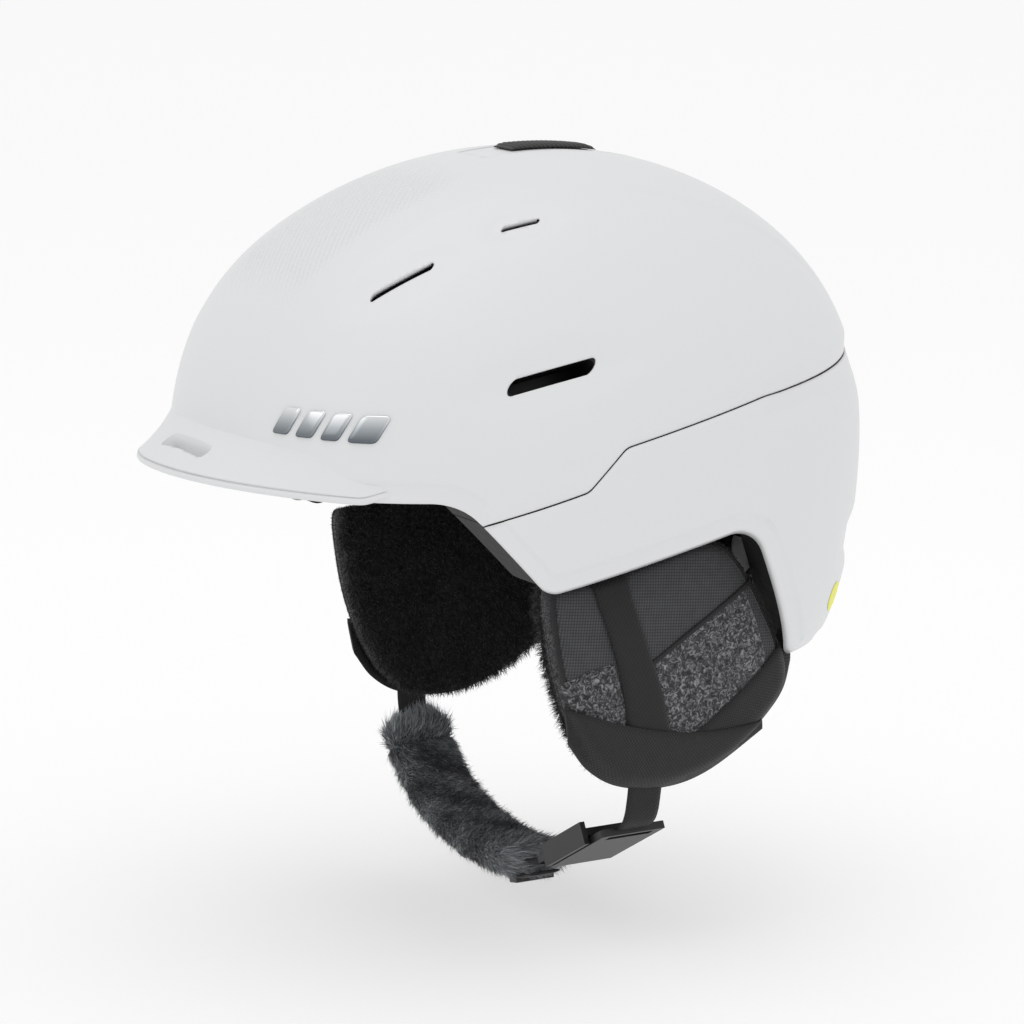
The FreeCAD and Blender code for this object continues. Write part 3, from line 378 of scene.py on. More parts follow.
# ---- shell surface -----------------------------------------------------
shellShape = {
    "axisY": 8.0, "axisZ": -30.0,     # the arches turn about this line
    "halfWidth": 111.3, "squareness": 2.47, "wall": 2.0, "deepest": 1.95,
    "angles": (0, 20, 40, 60, 90, 120, 140, 165, 185, 208),
    "reaches": (141, 151.5, 164.5, 164, 160.5, 160.5, 155, 132, 120, 109.5),
}
shellMiddle = np.array([0.0, shellShape["axisY"], shellShape["axisZ"]])


def splineCurves(x, y):
    # second slopes of the cubic spline through the knots, nothing at its two ends
    n, gap = len(x), np.diff(x)
    table, right = np.eye(n), np.zeros(n)
    for k in range(1, n - 1):
        table[k, k - 1:k + 2] = gap[k - 1], 2 * (gap[k - 1] + gap[k]), gap[k]
        right[k] = 6 * ((y[k + 1] - y[k]) / gap[k] - (y[k] - y[k - 1]) / gap[k - 1])
    return np.linalg.solve(table, right)


knotX = np.array(shellShape["angles"], float)
knotY = np.array(shellShape["reaches"], float)
knotCurve = splineCurves(knotX, knotY)


def archReach(angle):
    # the arch's radius at an angle: 0 in front, 90 on top, 180 behind
    held = np.clip(angle, knotX[0], knotX[-1])
    k = np.clip(np.searchsorted(knotX, held) - 1, 0, len(knotX) - 2)
    gap = knotX[k + 1] - knotX[k]
    a, b = (knotX[k + 1] - held) / gap, (held - knotX[k]) / gap
    curve = (a ** 3 - a) * knotCurve[k] + (b ** 3 - b) * knotCurve[k + 1]
    return a * knotY[k] + b * knotY[k + 1] + curve * gap ** 2 / 6


def shellFar(ways, inset=0.0):
    # distance from the middle to the shell along each direction: a squared ellipse of the
    # half width sideways and the arch's radius in the other plane
    flat = np.hypot(ways[..., 1], ways[..., 2])
    angle = np.degrees(np.arctan2(ways[..., 2], -ways[..., 1]))
    angle = np.where(angle < -90, angle + 360, angle)
    power = shellShape["squareness"]
    side = (np.abs(ways[..., 0]) / (shellShape["halfWidth"] - inset)) ** power
    return (side + (flat / (archReach(angle) - inset)) ** power) ** (-1 / power)


def bearing(turn, rise):
    # direction turned from straight ahead and raised from level, in radians
    return np.stack([np.sin(turn) * np.cos(rise), -np.cos(turn) * np.cos(rise),
                     np.sin(rise) + 0 * turn], -1)


def shellSpot(turn, rise, inset=0.0):
    ways = bearing(turn, rise)
    return shellMiddle + ways * shellFar(ways, inset)[..., None]


def archSpot(angle, lean, inset=0.0):
    # the same surface by arch angle and sideways lean, in degrees
    a, b = np.radians(angle), np.radians(lean)
    ways = np.stack([np.sin(b) + 0 * a, -np.cos(b) * np.cos(a), np.cos(b) * np.sin(a)], -1)
    return shellMiddle + ways * shellFar(ways, inset)[..., None]


def surfaceNormal(points):
    # slope of the surface's own measure, by small steps
    def measure(p):
        ways = p - shellMiddle
        return 1 / shellFar(unit(ways)) * np.linalg.norm(ways, axis=-1)
    step = np.eye(3) * 0.2
    return unit(np.stack([measure(points + s) - measure(points - s) for s in step], -1))


def sideLine(points, radii, count=24):
    # a side-view line whose corners are rounded: heights at closely spaced places
    p = np.asarray(points, float)
    spots = [p[:1]]
    for before, corner, after, radius in zip(p, p[1:], p[2:], radii):
        one, two = unit(before - corner), unit(after - corner)
        half = np.arccos(np.clip(one @ two, -1, 1)) / 2
        middle = corner + unit(one + two) * radius / np.sin(half)
        start, end = corner + one * radius / np.tan(half), corner + two * radius / np.tan(half)
        share = np.linspace(0, 1, count)[:, None]
        arc = unit((1 - share) * (start - middle) + share * (end - middle)) * radius + middle
        spots.append(arc)
    return np.vstack(spots + [p[-1:]])


rimCorners = [(-180, 13.4), (-78, 13.4), (-46, -24), (46, -5.2), (72, -64), (190, -64)]
rimLine = sideLine(rimCorners, (22, 9, 15, 8))
seamLine = sideLine([(-190, -25.5), (-29, 14.5), (-12, 29.6), (53, 43.0), (190, 60.5)], (8, 8, 60))


def heightOn(line, y):
    return np.interp(y, line[:, 0], line[:, 1])


def lineDistance(line, points):
    # how far each point is from a side-view line, seen from the side
    a, b = line[:-1], line[1:]
    reach = b - a
    found = np.full(points.shape[:-1], 1e9)
    flat = points[..., 1:]
    for start, way in zip(a, reach):
        share = np.clip(((flat - start) @ way) / max(way @ way, 1e-9), 0, 1)
        found = np.minimum(found, np.linalg.norm(flat - start - share[..., None] * way, axis=-1))
    return found


def edgeRise(turn, heights):
    # the rise at which the surface crosses a side-view height, by halving
    low, high = np.full(turn.shape, -1.2), np.full(turn.shape, 1.2)
    for _ in range(36):
        middle = (low + high) / 2
        spot = shellSpot(turn, middle)
        above = spot[..., 2] > heights(spot[..., 1])
        low, high = np.where(above, low, middle), np.where(above, middle, high)
    return (low + high) / 2


def segmentShare(points, start, end):
    # distance from a straight stretch, and how far along it
    way = end - start
    along = ((points - start) @ way) / (way @ way)
    held = np.clip(along, 0, 1)[..., None]
    return np.linalg.norm(points - start - held * way, axis=-1), along


print("surface ready")

# ---- shell forms -------------------------------------------------------
ventForms = {
    # two ends by arch angle and lean, slot width, recess reach and depth
    "browVent": ((49, 19.8), (59, 22.1), 3.0, 13.0, 2.0),
    "crownVent": ((71.2, 22.4), (77.5, 23.1), 2.6, 10.0, 1.9),
    "sideVent": ((52.7, 42), (72.6, 46), 5.8, 16.0, 2.0),
    "rearVentHigh": ((128, 49.5), (133, 44.5), 2.6, 9.0, 1.4),
    "rearVentLow": ((138, 40.2), (142, 34.8), 2.6, 9.0, 1.4),
}


def mirroredX(points):
    return points * np.array([-1.0, 1.0, 1.0])


def ventRecess(points):
    # a long shallow dish round each slot, running out to nothing past its two ends
    depth = np.zeros(points.shape[:-1])
    mirrored = np.concatenate([np.abs(points[..., :1]), points[..., 1:]], -1)
    for start, end, width, reach, deep in ventForms.values():
        a, b = archSpot(*map(np.float64, start)), archSpot(*map(np.float64, end))
        way = (b - a) * 0.75
        away, along = segmentShare(mirrored, a - way, b + way)
        taper = 1 - easing(np.abs(along - 0.5) * 2 - 0.15)
        dish = easing(1 - away / (reach * (0.35 + 0.65 * taper)))
        depth = np.maximum(depth, deep * dish * taper)
    return depth


def rimBand(points):
    # below a line 7 mm from the rim the wall steps in and leans inwards
    away = lineDistance(rimLine, points)
    step = 0.75 * easing((7.6 - away) / 1.1)
    return step + 1.1 * np.clip((7.0 - away) / 7.0, 0, 1)


def crownLines(points):
    # a raised panel along the top, its edges fading towards the brow
    x, y, z = np.abs(points[..., 0]), points[..., 1], points[..., 2]
    edge = 46 + 10 * easing((y + 60) / 120)
    fade = easing((z - 62) / 30)
    return 0.9 * fade * easing((x - edge) / 5 + 0.5)


def shellDepth(points):
    return ventRecess(points) + crownLines(points)


def held(depth):
    # the foam starts just under the wall, so no recess goes deeper than this
    return np.minimum(depth, shellShape["deepest"])


def upperRows(turn):
    heights = lambda y: np.maximum(heightOn(rimLine, y), heightOn(seamLine, y) + 0.3)
    edge = edgeRise(turn, heights)
    far = shellFar(bearing(turn, edge))
    near = np.linspace(0.9, 15, 22)
    share = np.linspace(0, 1, 88)[1:-1] ** 0.97
    start = edge + 15 / far
    rises = [start + (np.pi / 2 - start) * s for s in share[::-1]] + [edge + s / far for s in near[::-1]]
    rows = []
    seamSide = easing((heightOn(seamLine, shellSpot(turn, edge)[..., 1])
                       - heightOn(rimLine, shellSpot(turn, edge)[..., 1])) / 4)
    behind = easing((shellSpot(turn, edge)[..., 1] - 20) / 80)
    for rise in rises:
        spots = shellSpot(turn, rise)
        above = (rise - edge) * far
        depth = shellDepth(spots) + rimBand(spots) * (1 - seamSide)
        # the overhanging lip at the back turns in below a soft edge
        depth = depth + seamSide * behind * 2.2 * easing((6.5 - above) / 6.5)
        depth = depth + seamSide * 0.35 * easing((1.8 - above) / 1.8)
        depth = held(depth)
        rows.append(shellMiddle + bearing(turn, rise) * (shellFar(bearing(turn, rise)) - depth)[..., None])
    wall = shellShape["wall"]
    last = depth
    for bend in np.linspace(0.2, 1, 5):
        # the lip's round, then the inner face
        angle = bend * np.pi
        inset = last + wall / 2 * (1 - np.cos(angle))
        rise = edge + (0.9 - 0.9 * np.sin(angle)) / far
        rows.append(shellMiddle + bearing(turn, rise)
                    * (shellFar(bearing(turn, rise)) - inset)[..., None])
    for s in (4, 9, 15):
        rise = edge + s / far
        inset = wall + last * np.clip(1 - s / 15, 0, 1) + shellDepth(shellSpot(turn, rise))
        rows.append(shellMiddle + bearing(turn, rise) * (shellFar(bearing(turn, rise)) - inset)[..., None])
    for share in (0.15, 0.3, 0.5, 0.7, 0.9, 0.99):
        rise = start + (np.pi / 2 - start) * share
        inset = wall + shellDepth(shellSpot(turn, rise))
        rows.append(shellMiddle + bearing(turn, rise) * (shellFar(bearing(turn, rise)) - inset)[..., None])
    return np.stack(rows)


def slotCutter(name, start, end, width, deep, side=1):
    # a round-ended block standing on the surface between two places
    a, b = archSpot(*map(np.float64, start)), archSpot(*map(np.float64, end))
    middle = archSpot((start[0] + end[0]) / 2, (start[1] + end[1]) / 2)
    up = surfaceNormal(middle)
    along = unit(b - a)
    across = unit(np.cross(up, along))
    half = np.linalg.norm(b - a) / 2
    turns = np.linspace(0, 2 * np.pi, 32, endpoint=False)
    blend = 0.62
    u = np.sign(np.cos(turns)) * (half - width / 2) * blend + np.cos(turns) * width / 2
    u = u + np.sign(np.cos(turns)) * (half - width / 2) * (1 - blend)
    v = np.sin(turns) * width / 2
    # the ends are cut on a slant
    u = u + v * 0.8
    middle = (a + b) / 2
    ring = middle + u[:, None] * along + v[:, None] * across
    rows = np.stack([ring + up * h for h in (10, 0, -deep / 2, -deep)])
    if side < 0:
        rows = mirroredX(rows)
    return tube(name, rows, shellPaint)


def columnTurns(count, first=0.0, last=2 * np.pi, closed=True):
    return np.linspace(first, last, count, endpoint=not closed)


upperTurns = columnTurns(700)
upperShell = tube("upperShell", upperRows(upperTurns), shellPaint)
cutters = [slotCutter("cut", a, b, w, 9, side) for a, b, w, _, _ in ventForms.values() for side in (1, -1)]
railLow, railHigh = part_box("slider_track")
trackHalf = (railHigh[0] / mm + 0.5, (railHigh[1] - railLow[1]) / mm / 2 + 0.5)
trackMiddle = (railLow[1] + railHigh[1]) / mm / 2


def blockCutter(name, middle, half, radius=2.0):
    turns = np.linspace(0, 2 * np.pi, 40, endpoint=False)
    corner = np.stack([np.sign(np.cos(turns)), np.sign(np.sin(turns))], -1)
    ring = corner * (np.array(half[:2]) - radius) + np.stack([np.cos(turns), np.sin(turns)], -1) * radius
    rows = np.stack([np.concatenate([ring + np.array(middle[:2]), np.full((40, 1), middle[2] + h)], 1)
                     for h in (half[2], -half[2])])
    return tube(name, rows, shellPaint)


cutters.append(blockCutter("cut", (0, trackMiddle, 130), (trackHalf[0], trackHalf[1], 14), 3))
settle(cutAway(upperShell, cutters), "shell", "shell_white", "upper_shell")
print("upper shell:", len(upperShell.data.polygons), "faces")


def lowerRows(turn):
    edge = edgeRise(turn, lambda y: heightOn(rimLine, y))
    top = edgeRise(turn, lambda y: np.maximum(heightOn(seamLine, y) - 0.3, heightOn(rimLine, y) + 0.05))
    far = shellFar(bearing(turn, edge))
    rows, wall = [], shellShape["wall"]
    share = np.concatenate([np.linspace(0, 0.12, 8)[1:], np.linspace(0.12, 0.9, 44)[1:],
                            np.linspace(0.9, 1, 10)[1:]])
    spot = shellSpot(turn, top)
    behind = easing((spot[..., 1] - 20) / 80)

    def depthAt(rise, above, below):
        # above is the height over the rim, not used; below is the distance under the seam
        spots = shellSpot(turn, rise)
        tuck = 0.45 * easing((1.6 - below) / 1.6) + behind * 1.9 * easing((16 - below) / 16)
        waist = 3.2 * easing(1 - np.abs(spots[..., 2] + 22) / 13) * easing((spots[..., 1] - 92) / 24)
        return held(rimBand(spots) + tuck + waist + ventRecess(spots))

    for s in share:
        rise = edge + (0.9 / far) * (1 - s) + (top - edge) * s
        rise = np.minimum(rise, top)
        depth = depthAt(rise, (rise - edge) * far, (top - rise) * far)
        rows.append(shellMiddle + bearing(turn, rise) * (shellFar(bearing(turn, rise)) - depth)[..., None])
    for s in (1.0, 0.8, 0.5, 0.2, 0.0):
        rise = edge + (top - edge) * s
        depth = wall + depthAt(rise, (rise - edge) * far, (top - rise) * far)
        rows.append(shellMiddle + bearing(turn, rise) * (shellFar(bearing(turn, rise)) - depth)[..., None])
    return np.stack(rows)


# the lower shell runs round the back from one temple to the other
allTurns = np.linspace(0.3, np.pi, 4000)
gap = (edgeRise(allTurns, lambda y: heightOn(seamLine, y) - 0.3)
       - edgeRise(allTurns, lambda y: heightOn(rimLine, y)))
frontTurn = allTurns[np.argmax(gap > 0.0015)]
lowerTurns = np.linspace(frontTurn, 2 * np.pi - frontTurn, 640)
lowerGrid = np.swapaxes(lowerRows(lowerTurns), 0, 1)
lowerShell = tube("lowerShell", lowerGrid, shellPaint)
settle(lowerShell, "shell", "shell_white", "lower_shell")
print("lower shell:", len(lowerShell.data.polygons), "faces")

# ---- brim --------------------------------------------------------------
brimShape = {
    "reach": 18.3, "tipHeight": 18.0, "rootHeight": 33.0, "lowHeight": 13.4, "fade": 2.6,
    "spread": 39.0, "edge": 3.0, "slotHalfWidth": 17.5, "slotHeight": 6.0, "slotY": -141.8,
}


def browSpot(turn, height, out):
    # the surface at a height, straight out from the upright middle line, then further out
    way = np.stack([np.sin(turn), -np.cos(turn), 0 * turn], -1)
    low, high = np.full(turn.shape, 60.0), np.full(turn.shape, 200.0)
    for _ in range(30):
        middle = (low + high) / 2
        spot = way * middle[..., None]
        spot[..., 2] = height
        ways = spot - shellMiddle
        inside = np.linalg.norm(ways, axis=-1) < shellFar(unit(ways))
        low, high = np.where(inside, middle, low), np.where(inside, high, middle)
    spot = way * (low + out)[..., None]
    spot[..., 2] = height
    return spot


def brimRows():
    turn = np.radians(np.linspace(-41, 41, 300))
    fade = np.clip(1 - (np.degrees(turn) / brimShape["spread"]) ** 2, 0, 1)
    ends = easing((41 - np.abs(np.degrees(turn))) / 6)
    out = brimShape["reach"] * fade ** brimShape["fade"] + 2.9 * ends - 1.6
    tip = brimShape["lowHeight"] + (brimShape["tipHeight"] - brimShape["lowHeight"]) * fade ** 2
    tip = tip + 3.2 * (1 - ends)
    lowRoot = brimShape["lowHeight"] + 6
    root = lowRoot + (brimShape["rootHeight"] - lowRoot) * easing(fade * 1.6)
    half = brimShape["edge"] / 2
    spots = []
    # the top face hollows down from the brow to a soft crease, then a flatter band to the tip
    for s in np.linspace(0, 1, 26):
        bow = s * s * (1.25 - 0.25 * s)
        height = root + (tip + half - root) * s
        spots.append((height, -0.9 + (out + 0.9) * (0.62 * s + 0.38 * bow)))
    for angle in np.linspace(0.15, 1, 8) * np.pi:
        rounding = half * (1.1 * np.sin(angle) - 0.9)
        spots.append((tip + half * np.cos(angle), out + rounding))
    low = tip - half
    for s in np.linspace(0, 1, 14)[1:]:
        height = low + (brimShape["lowHeight"] + 9 - low) * easing(s) * 0.9
        spots.append((height, (out - half) * (1 - s) - 0.9 * s))
    grid = np.stack([browSpot(turn, h + 0 * turn, o + 0 * turn) for h, o in spots], 1)
    return grid


brim = tube("browBrim", brimRows(), brimPaint)
slotHalf = brimShape["slotHeight"] / 2
slot = blockCutter("cut", (0, brimShape["slotY"], 24), (brimShape["slotHalfWidth"], slotHalf, 26), slotHalf - 0.2)
settle(cutAway(brim, [slot]), "shell", "brim_white", "brow_visor")
print("brim:", len(brim.data.polygons), "faces")

# ---- badge and slider --------------------------------------------------
# plain slanted bars of bright metal across the brow


def levelSpot(turn, height, inset):
    rise = edgeRise(turn, lambda y: height + 0 * y)
    return shellSpot(turn, rise, inset)


def badgeBar(first, last, low, high, lean):
    turns = np.linspace(0, 2 * np.pi, 64, endpoint=False)
    u = np.sign(np.cos(turns)) * np.abs(np.cos(turns)) ** 0.3
    v = np.sign(np.sin(turns)) * np.abs(np.sin(turns)) ** 0.3
    rows = []
    profile = ((0.03, -0.95), (0.5, -0.95), (0.86, -0.95), (0.95, -0.85), (1, -0.6), (1, 0.6), (0.03, 0.6))
    for share, inset in profile:
        height = (low + high) / 2 + v * share * (high - low) / 2
        turn = np.radians((first + last) / 2 + u * share * (last - first) / 2 + lean * v * share)
        rows.append(levelSpot(turn, height, inset + 0 * turn))
    return np.stack(rows)


for n, (first, last) in enumerate(((18.6, 21.6), (23.0, 26.0), (27.4, 30.4), (31.8, 36.4))):
    bar = tube("badgeBar" + str(n), badgeBar(first, last, 35.4 - 0.3 * n, 45.4 - 0.3 * n, 1.1), badgeChrome)
    settle(bar, "shell", "badge_chrome", *(["brow_badge"] if n == 0 else []))

# thumb slider: cross ribs on a low moulded bar
sliderLow, sliderHigh = (np.array(c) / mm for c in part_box("vent_slider"))
ribTurns = np.linspace(0, 2 * np.pi, 56, endpoint=False)
ribAcross = np.sign(np.cos(ribTurns)) * np.abs(np.cos(ribTurns)) ** 0.35 * (sliderHigh[0] - 0.2)
length = np.linspace(sliderLow[1] + 1.5, sliderHigh[1] - 1.5, 260)
rib = 0.35 * np.cos((length - length[0]) / 2.1 * 2 * np.pi)
fadeEnd = np.sqrt(np.clip(np.minimum(length - length[0], length[-1] - length) / 3, 0, 1))
archTurns = 90 + np.degrees((length - shellMiddle[1]) / 164.0)
top = np.stack([archSpot(a, 0.0) for a in archTurns])
rows = []
for n in range(len(length)):
    high = 1.2 * fadeEnd[n] + 0.2 + rib[n] * fadeEnd[n]
    lift = np.where(np.sin(ribTurns) > 0, np.abs(np.sin(ribTurns)) ** 0.5 * high, 0.1)
    drop = (ribAcross / 100.0) ** 2 * 32
    wide = ribAcross * (0.92 + 0.08 * fadeEnd[n])
    rows.append(np.stack([wide, top[n, 1] + 0 * lift, top[n, 2] + lift + 0.2 - drop], -1))
slider = tube("ventSliderRibbed", np.stack(rows), blackMoulding)
settle(slider, "slider", "slider_black", "vent_slider")

# ---- soft surfaces -----------------------------------------------------
def ripple(points, size, height, seed):
    # smooth unevenness: a few sine waves in fixed random directions, size apart
    waves = np.random.default_rng(seed)
    total = np.zeros(points.shape[:-1])
    for _ in range(7):
        way = unit(waves.normal(size=3)) * 2 * np.pi / (size * waves.uniform(0.7, 1.6))
        total += np.sin(points @ way + waves.uniform(0, 6.28))
    return total * height / 4


def rowNormals(grid):
    # outward directions of a grid of closed rings, from the differences of its rows and columns
    across = np.roll(grid, -1, 1) - np.roll(grid, 1, 1)
    along = np.gradient(grid, axis=0)
    normal = unit(np.cross(across, along))
    middle = grid.reshape(-1, 3).mean(0)
    if np.einsum("ijk,ijk->", normal, grid - middle) < 0:
        normal = -normal
    return normal


def scatter(grid, count, seed, keep=None):
    # random places over a grid, evenly by area, with the normal and the row direction there
    picks = np.random.default_rng(seed)
    normal = rowNormals(grid)
    here, right, up = grid[:-1], np.roll(grid, -1, 1)[:-1], grid[1:]
    size = np.linalg.norm(np.cross(right - here, up - here), axis=-1)
    if keep is not None:
        size = size * keep[:-1]
    odds = size.ravel() / size.sum()
    chosen = picks.choice(size.size, count, p=odds)
    i, j = np.unravel_index(chosen, size.shape)
    k = (j + 1) % grid.shape[1]
    a, b = picks.random((2, count, 1))
    spots = (grid[i, j] * (1 - a) * (1 - b) + grid[i, k] * a * (1 - b)
             + grid[i + 1, j] * (1 - a) * b + grid[i + 1, k] * a * b)
    return spots, normal[i, j], unit(up[i, j] - here[i, j]), i + b[:, 0], j + a[:, 0]


def pile(name, spots, ways, curls, length, width, material, seed, tint=None):
    # tapered blades: a root, a bend and a tip, each leaning its own way
    picks = np.random.default_rng(seed)
    count = len(spots)
    length = np.broadcast_to(length, (count,))[:, None] * picks.uniform(0.65, 1.25, (count, 1))
    ways, curls = unit(ways), unit(curls)
    flat = unit(np.cross(ways, curls) + picks.normal(0, 0.25, (count, 3)))
    side = flat * np.broadcast_to(width, (count,))[:, None] / 2
    middle = spots + ways * length * 0.5 + curls * length * 0.08
    tip = spots + ways * length * 0.8 + curls * length * 0.55
    root = spots - ways * 0.5
    points = np.stack([root - side, root + side, middle + side * 0.8, middle - side * 0.8, tip], 1)
    base = np.arange(count)[:, None] * 5
    quads, triangles = base + np.array([[0, 1, 2, 3]]), base + np.array([[3, 2, 4]])
    shade = picks.random(count) if tint is None else np.clip(tint + picks.normal(0, 0.16, count), 0, 1)
    maps = np.concatenate([np.repeat(shade, 4), np.repeat(shade, 3)])
    mesh = bpy.data.meshes.new(name)
    loops = np.concatenate([quads.ravel(), triangles.ravel()]).astype(np.int32)
    starts = np.concatenate([np.arange(count) * 4, count * 4 + np.arange(count) * 3]).astype(np.int32)
    mesh.vertices.add(count * 5)
    mesh.vertices.foreach_set("co", (points.reshape(-1, 3) * mm).astype(np.float32).ravel())
    mesh.loops.add(len(loops))
    mesh.loops.foreach_set("vertex_index", loops)
    mesh.polygons.add(len(starts))
    mesh.polygons.foreach_set("loop_start", starts)
    layer = mesh.uv_layers.new(name="cloth")
    layer.data.foreach_set("uv", np.stack([maps, maps], -1).astype(np.float32).ravel())
    mesh.update(calc_edges=True)
    mesh.shade_smooth()
    mesh.materials.append(material)
    piece = bpy.data.objects.new(name, mesh)
    bpy.context.scene.collection.objects.link(piece)
    return piece


# ---- ear pads ----------------------------------------------------------
earShape = {
    "outline": [(-35, -27), (-33.5, -45), (-30, -62), (-24, -79), (-16, -93), (-6, -102),
                (4, -105.2), (18, -105.8), (32, -103), (46, -97), (60, -86.5), (70, -74),
                (69, -60), (61, -42), (53, -28), (43, -16.5), (30, -14), (8, -18.5), (-16, -23.5),
                (-29, -24.5)],
    "innerX": 76.6, "seamX": 80.6, "outerX": 89.4, "crown": 2.4,
}
earLine = smoothLine(earShape["outline"], 220, closed=True)
earMiddle = earLine.mean(0)
earAngles = np.arctan2(*(earLine - earMiddle).T[::-1])
earOrder = np.argsort(earAngles)
earReach = np.linalg.norm(earLine - earMiddle, axis=1)


def earShare(flat):
    # how far out a place is: 0 in the middle of the pad, 1 on its outline
    away = flat - earMiddle
    angle = np.arctan2(away[..., 1], away[..., 0])
    reach = np.interp(angle, earAngles[earOrder], earReach[earOrder], period=2 * np.pi)
    return np.linalg.norm(away, axis=-1) / reach


def faceX(flat):
    # the outer face: a low dome with a rounded shoulder near the outline
    share = earShare(flat)
    dome = earShape["crown"] * (1 - np.clip(share, 0, 1) ** 2.2)
    shoulder = np.clip((share - 0.9) / 0.12, 0, 1)
    rounded = 6 * (1 - np.sqrt(1 - 0.98 * shoulder ** 2))
    return earShape["outerX"] + dome - rounded - 14 * np.clip(share - 1.02, 0, 1)


def ringRows(line, middle, pairs):
    # rings of the outline drawn in by a share, each at its own distance outwards
    rows = []
    for share, x in pairs:
        flat = middle + (line - middle) * share
        rows.append(np.concatenate([np.broadcast_to(np.asarray(x, float), (len(line),))[:, None], flat], 1))
    return np.stack(rows)


def sided(rows, side):
    return rows if side > 0 else mirroredX(rows)


def edgeBow(low, high, share, count, bulge=1.0):
    # a half round between two distances, standing out from the share given
    angles = np.linspace(-np.pi / 2, np.pi / 2, count)
    half, middle = (high - low) / 2, (high + low) / 2
    return [(share + (1 - share) * np.cos(a) * bulge, middle + half * np.sin(a)) for a in angles]


def strapGrid(edgeA, edgeB, lift, wall, count=90, across=9, height=faceX):
    # a flat band between two lines on the pad's face, its edges a little rounded
    a, b = smoothLine(edgeA, count), smoothLine(edgeB, count)
    share = np.linspace(0, 1, across)[None, :, None]
    top = a[:, None] * (1 - share) + b[:, None] * share
    crown = wall * (0.35 + 0.65 * np.sqrt(np.clip(1 - (2 * share[..., 0] - 1) ** 8, 0, 1)))
    high = np.concatenate([(height(top) + lift + crown)[..., None], top], -1)
    low = np.concatenate([(height(top) + lift + 0 * crown)[..., None], top], -1)[:, ::-1]
    grid = np.concatenate([high, low], 1)
    steps = np.linalg.norm(np.diff(grid[:, across // 2], axis=0), axis=1)
    reach = np.concatenate([[0], np.cumsum(steps)])
    wide = np.linalg.norm(b - a, axis=1).mean()
    girth = np.concatenate([np.linspace(0, wide, across), np.linspace(wide, 2 * wide, across + 1)])
    return grid, reach, girth


def patchRows(outline, lift, wall, count=160, soft=False):
    # a flat piece of cloth lying on the pad's face
    p = np.asarray(outline, float)
    if soft:
        line = smoothLine(p, count, closed=True)
    else:
        loop = np.vstack([p, p[:1]])
        length = np.concatenate([[0], np.cumsum(np.linalg.norm(np.diff(loop, axis=0), axis=1))])
        wanted = np.linspace(0, length[-1], count, endpoint=False)
        line = np.stack([np.interp(wanted, length, loop[:, n]) for n in (0, 1)], -1)
        line = (np.roll(line, 1, 0) + 2 * line + np.roll(line, -1, 0)) / 4
    middle = line.mean(0)
    rows = []
    profile = [(s, wall) for s in np.linspace(0.03, 0.97, 22)]
    profile += [(0.99, wall * 0.8), (1, wall * 0.4), (1, 0.0), (0.9, -0.2), (0.5, -0.2), (0.03, -0.2)]
    for share, rise in profile:
        flat = middle + (line - middle) * share
        rows.append(np.concatenate([(faceX(flat) + lift + rise)[:, None], flat], 1))
    return np.stack(rows)


def patchMap(piece):
    # lays the cloth map flat from the side, in millimetres
    mesh = piece.data
    layer = mesh.uv_layers.get("cloth") or mesh.uv_layers.new(name="cloth")
    spots = np.empty(len(mesh.vertices) * 3, np.float32)
    mesh.vertices.foreach_get("co", spots)
    order = np.empty(len(mesh.loops), np.int32)
    mesh.loops.foreach_get("vertex_index", order)
    flat = spots.reshape(-1, 3)[order][:, 1:] / mm
    layer.data.foreach_set("uv", flat.astype(np.float32).ravel())
    return piece


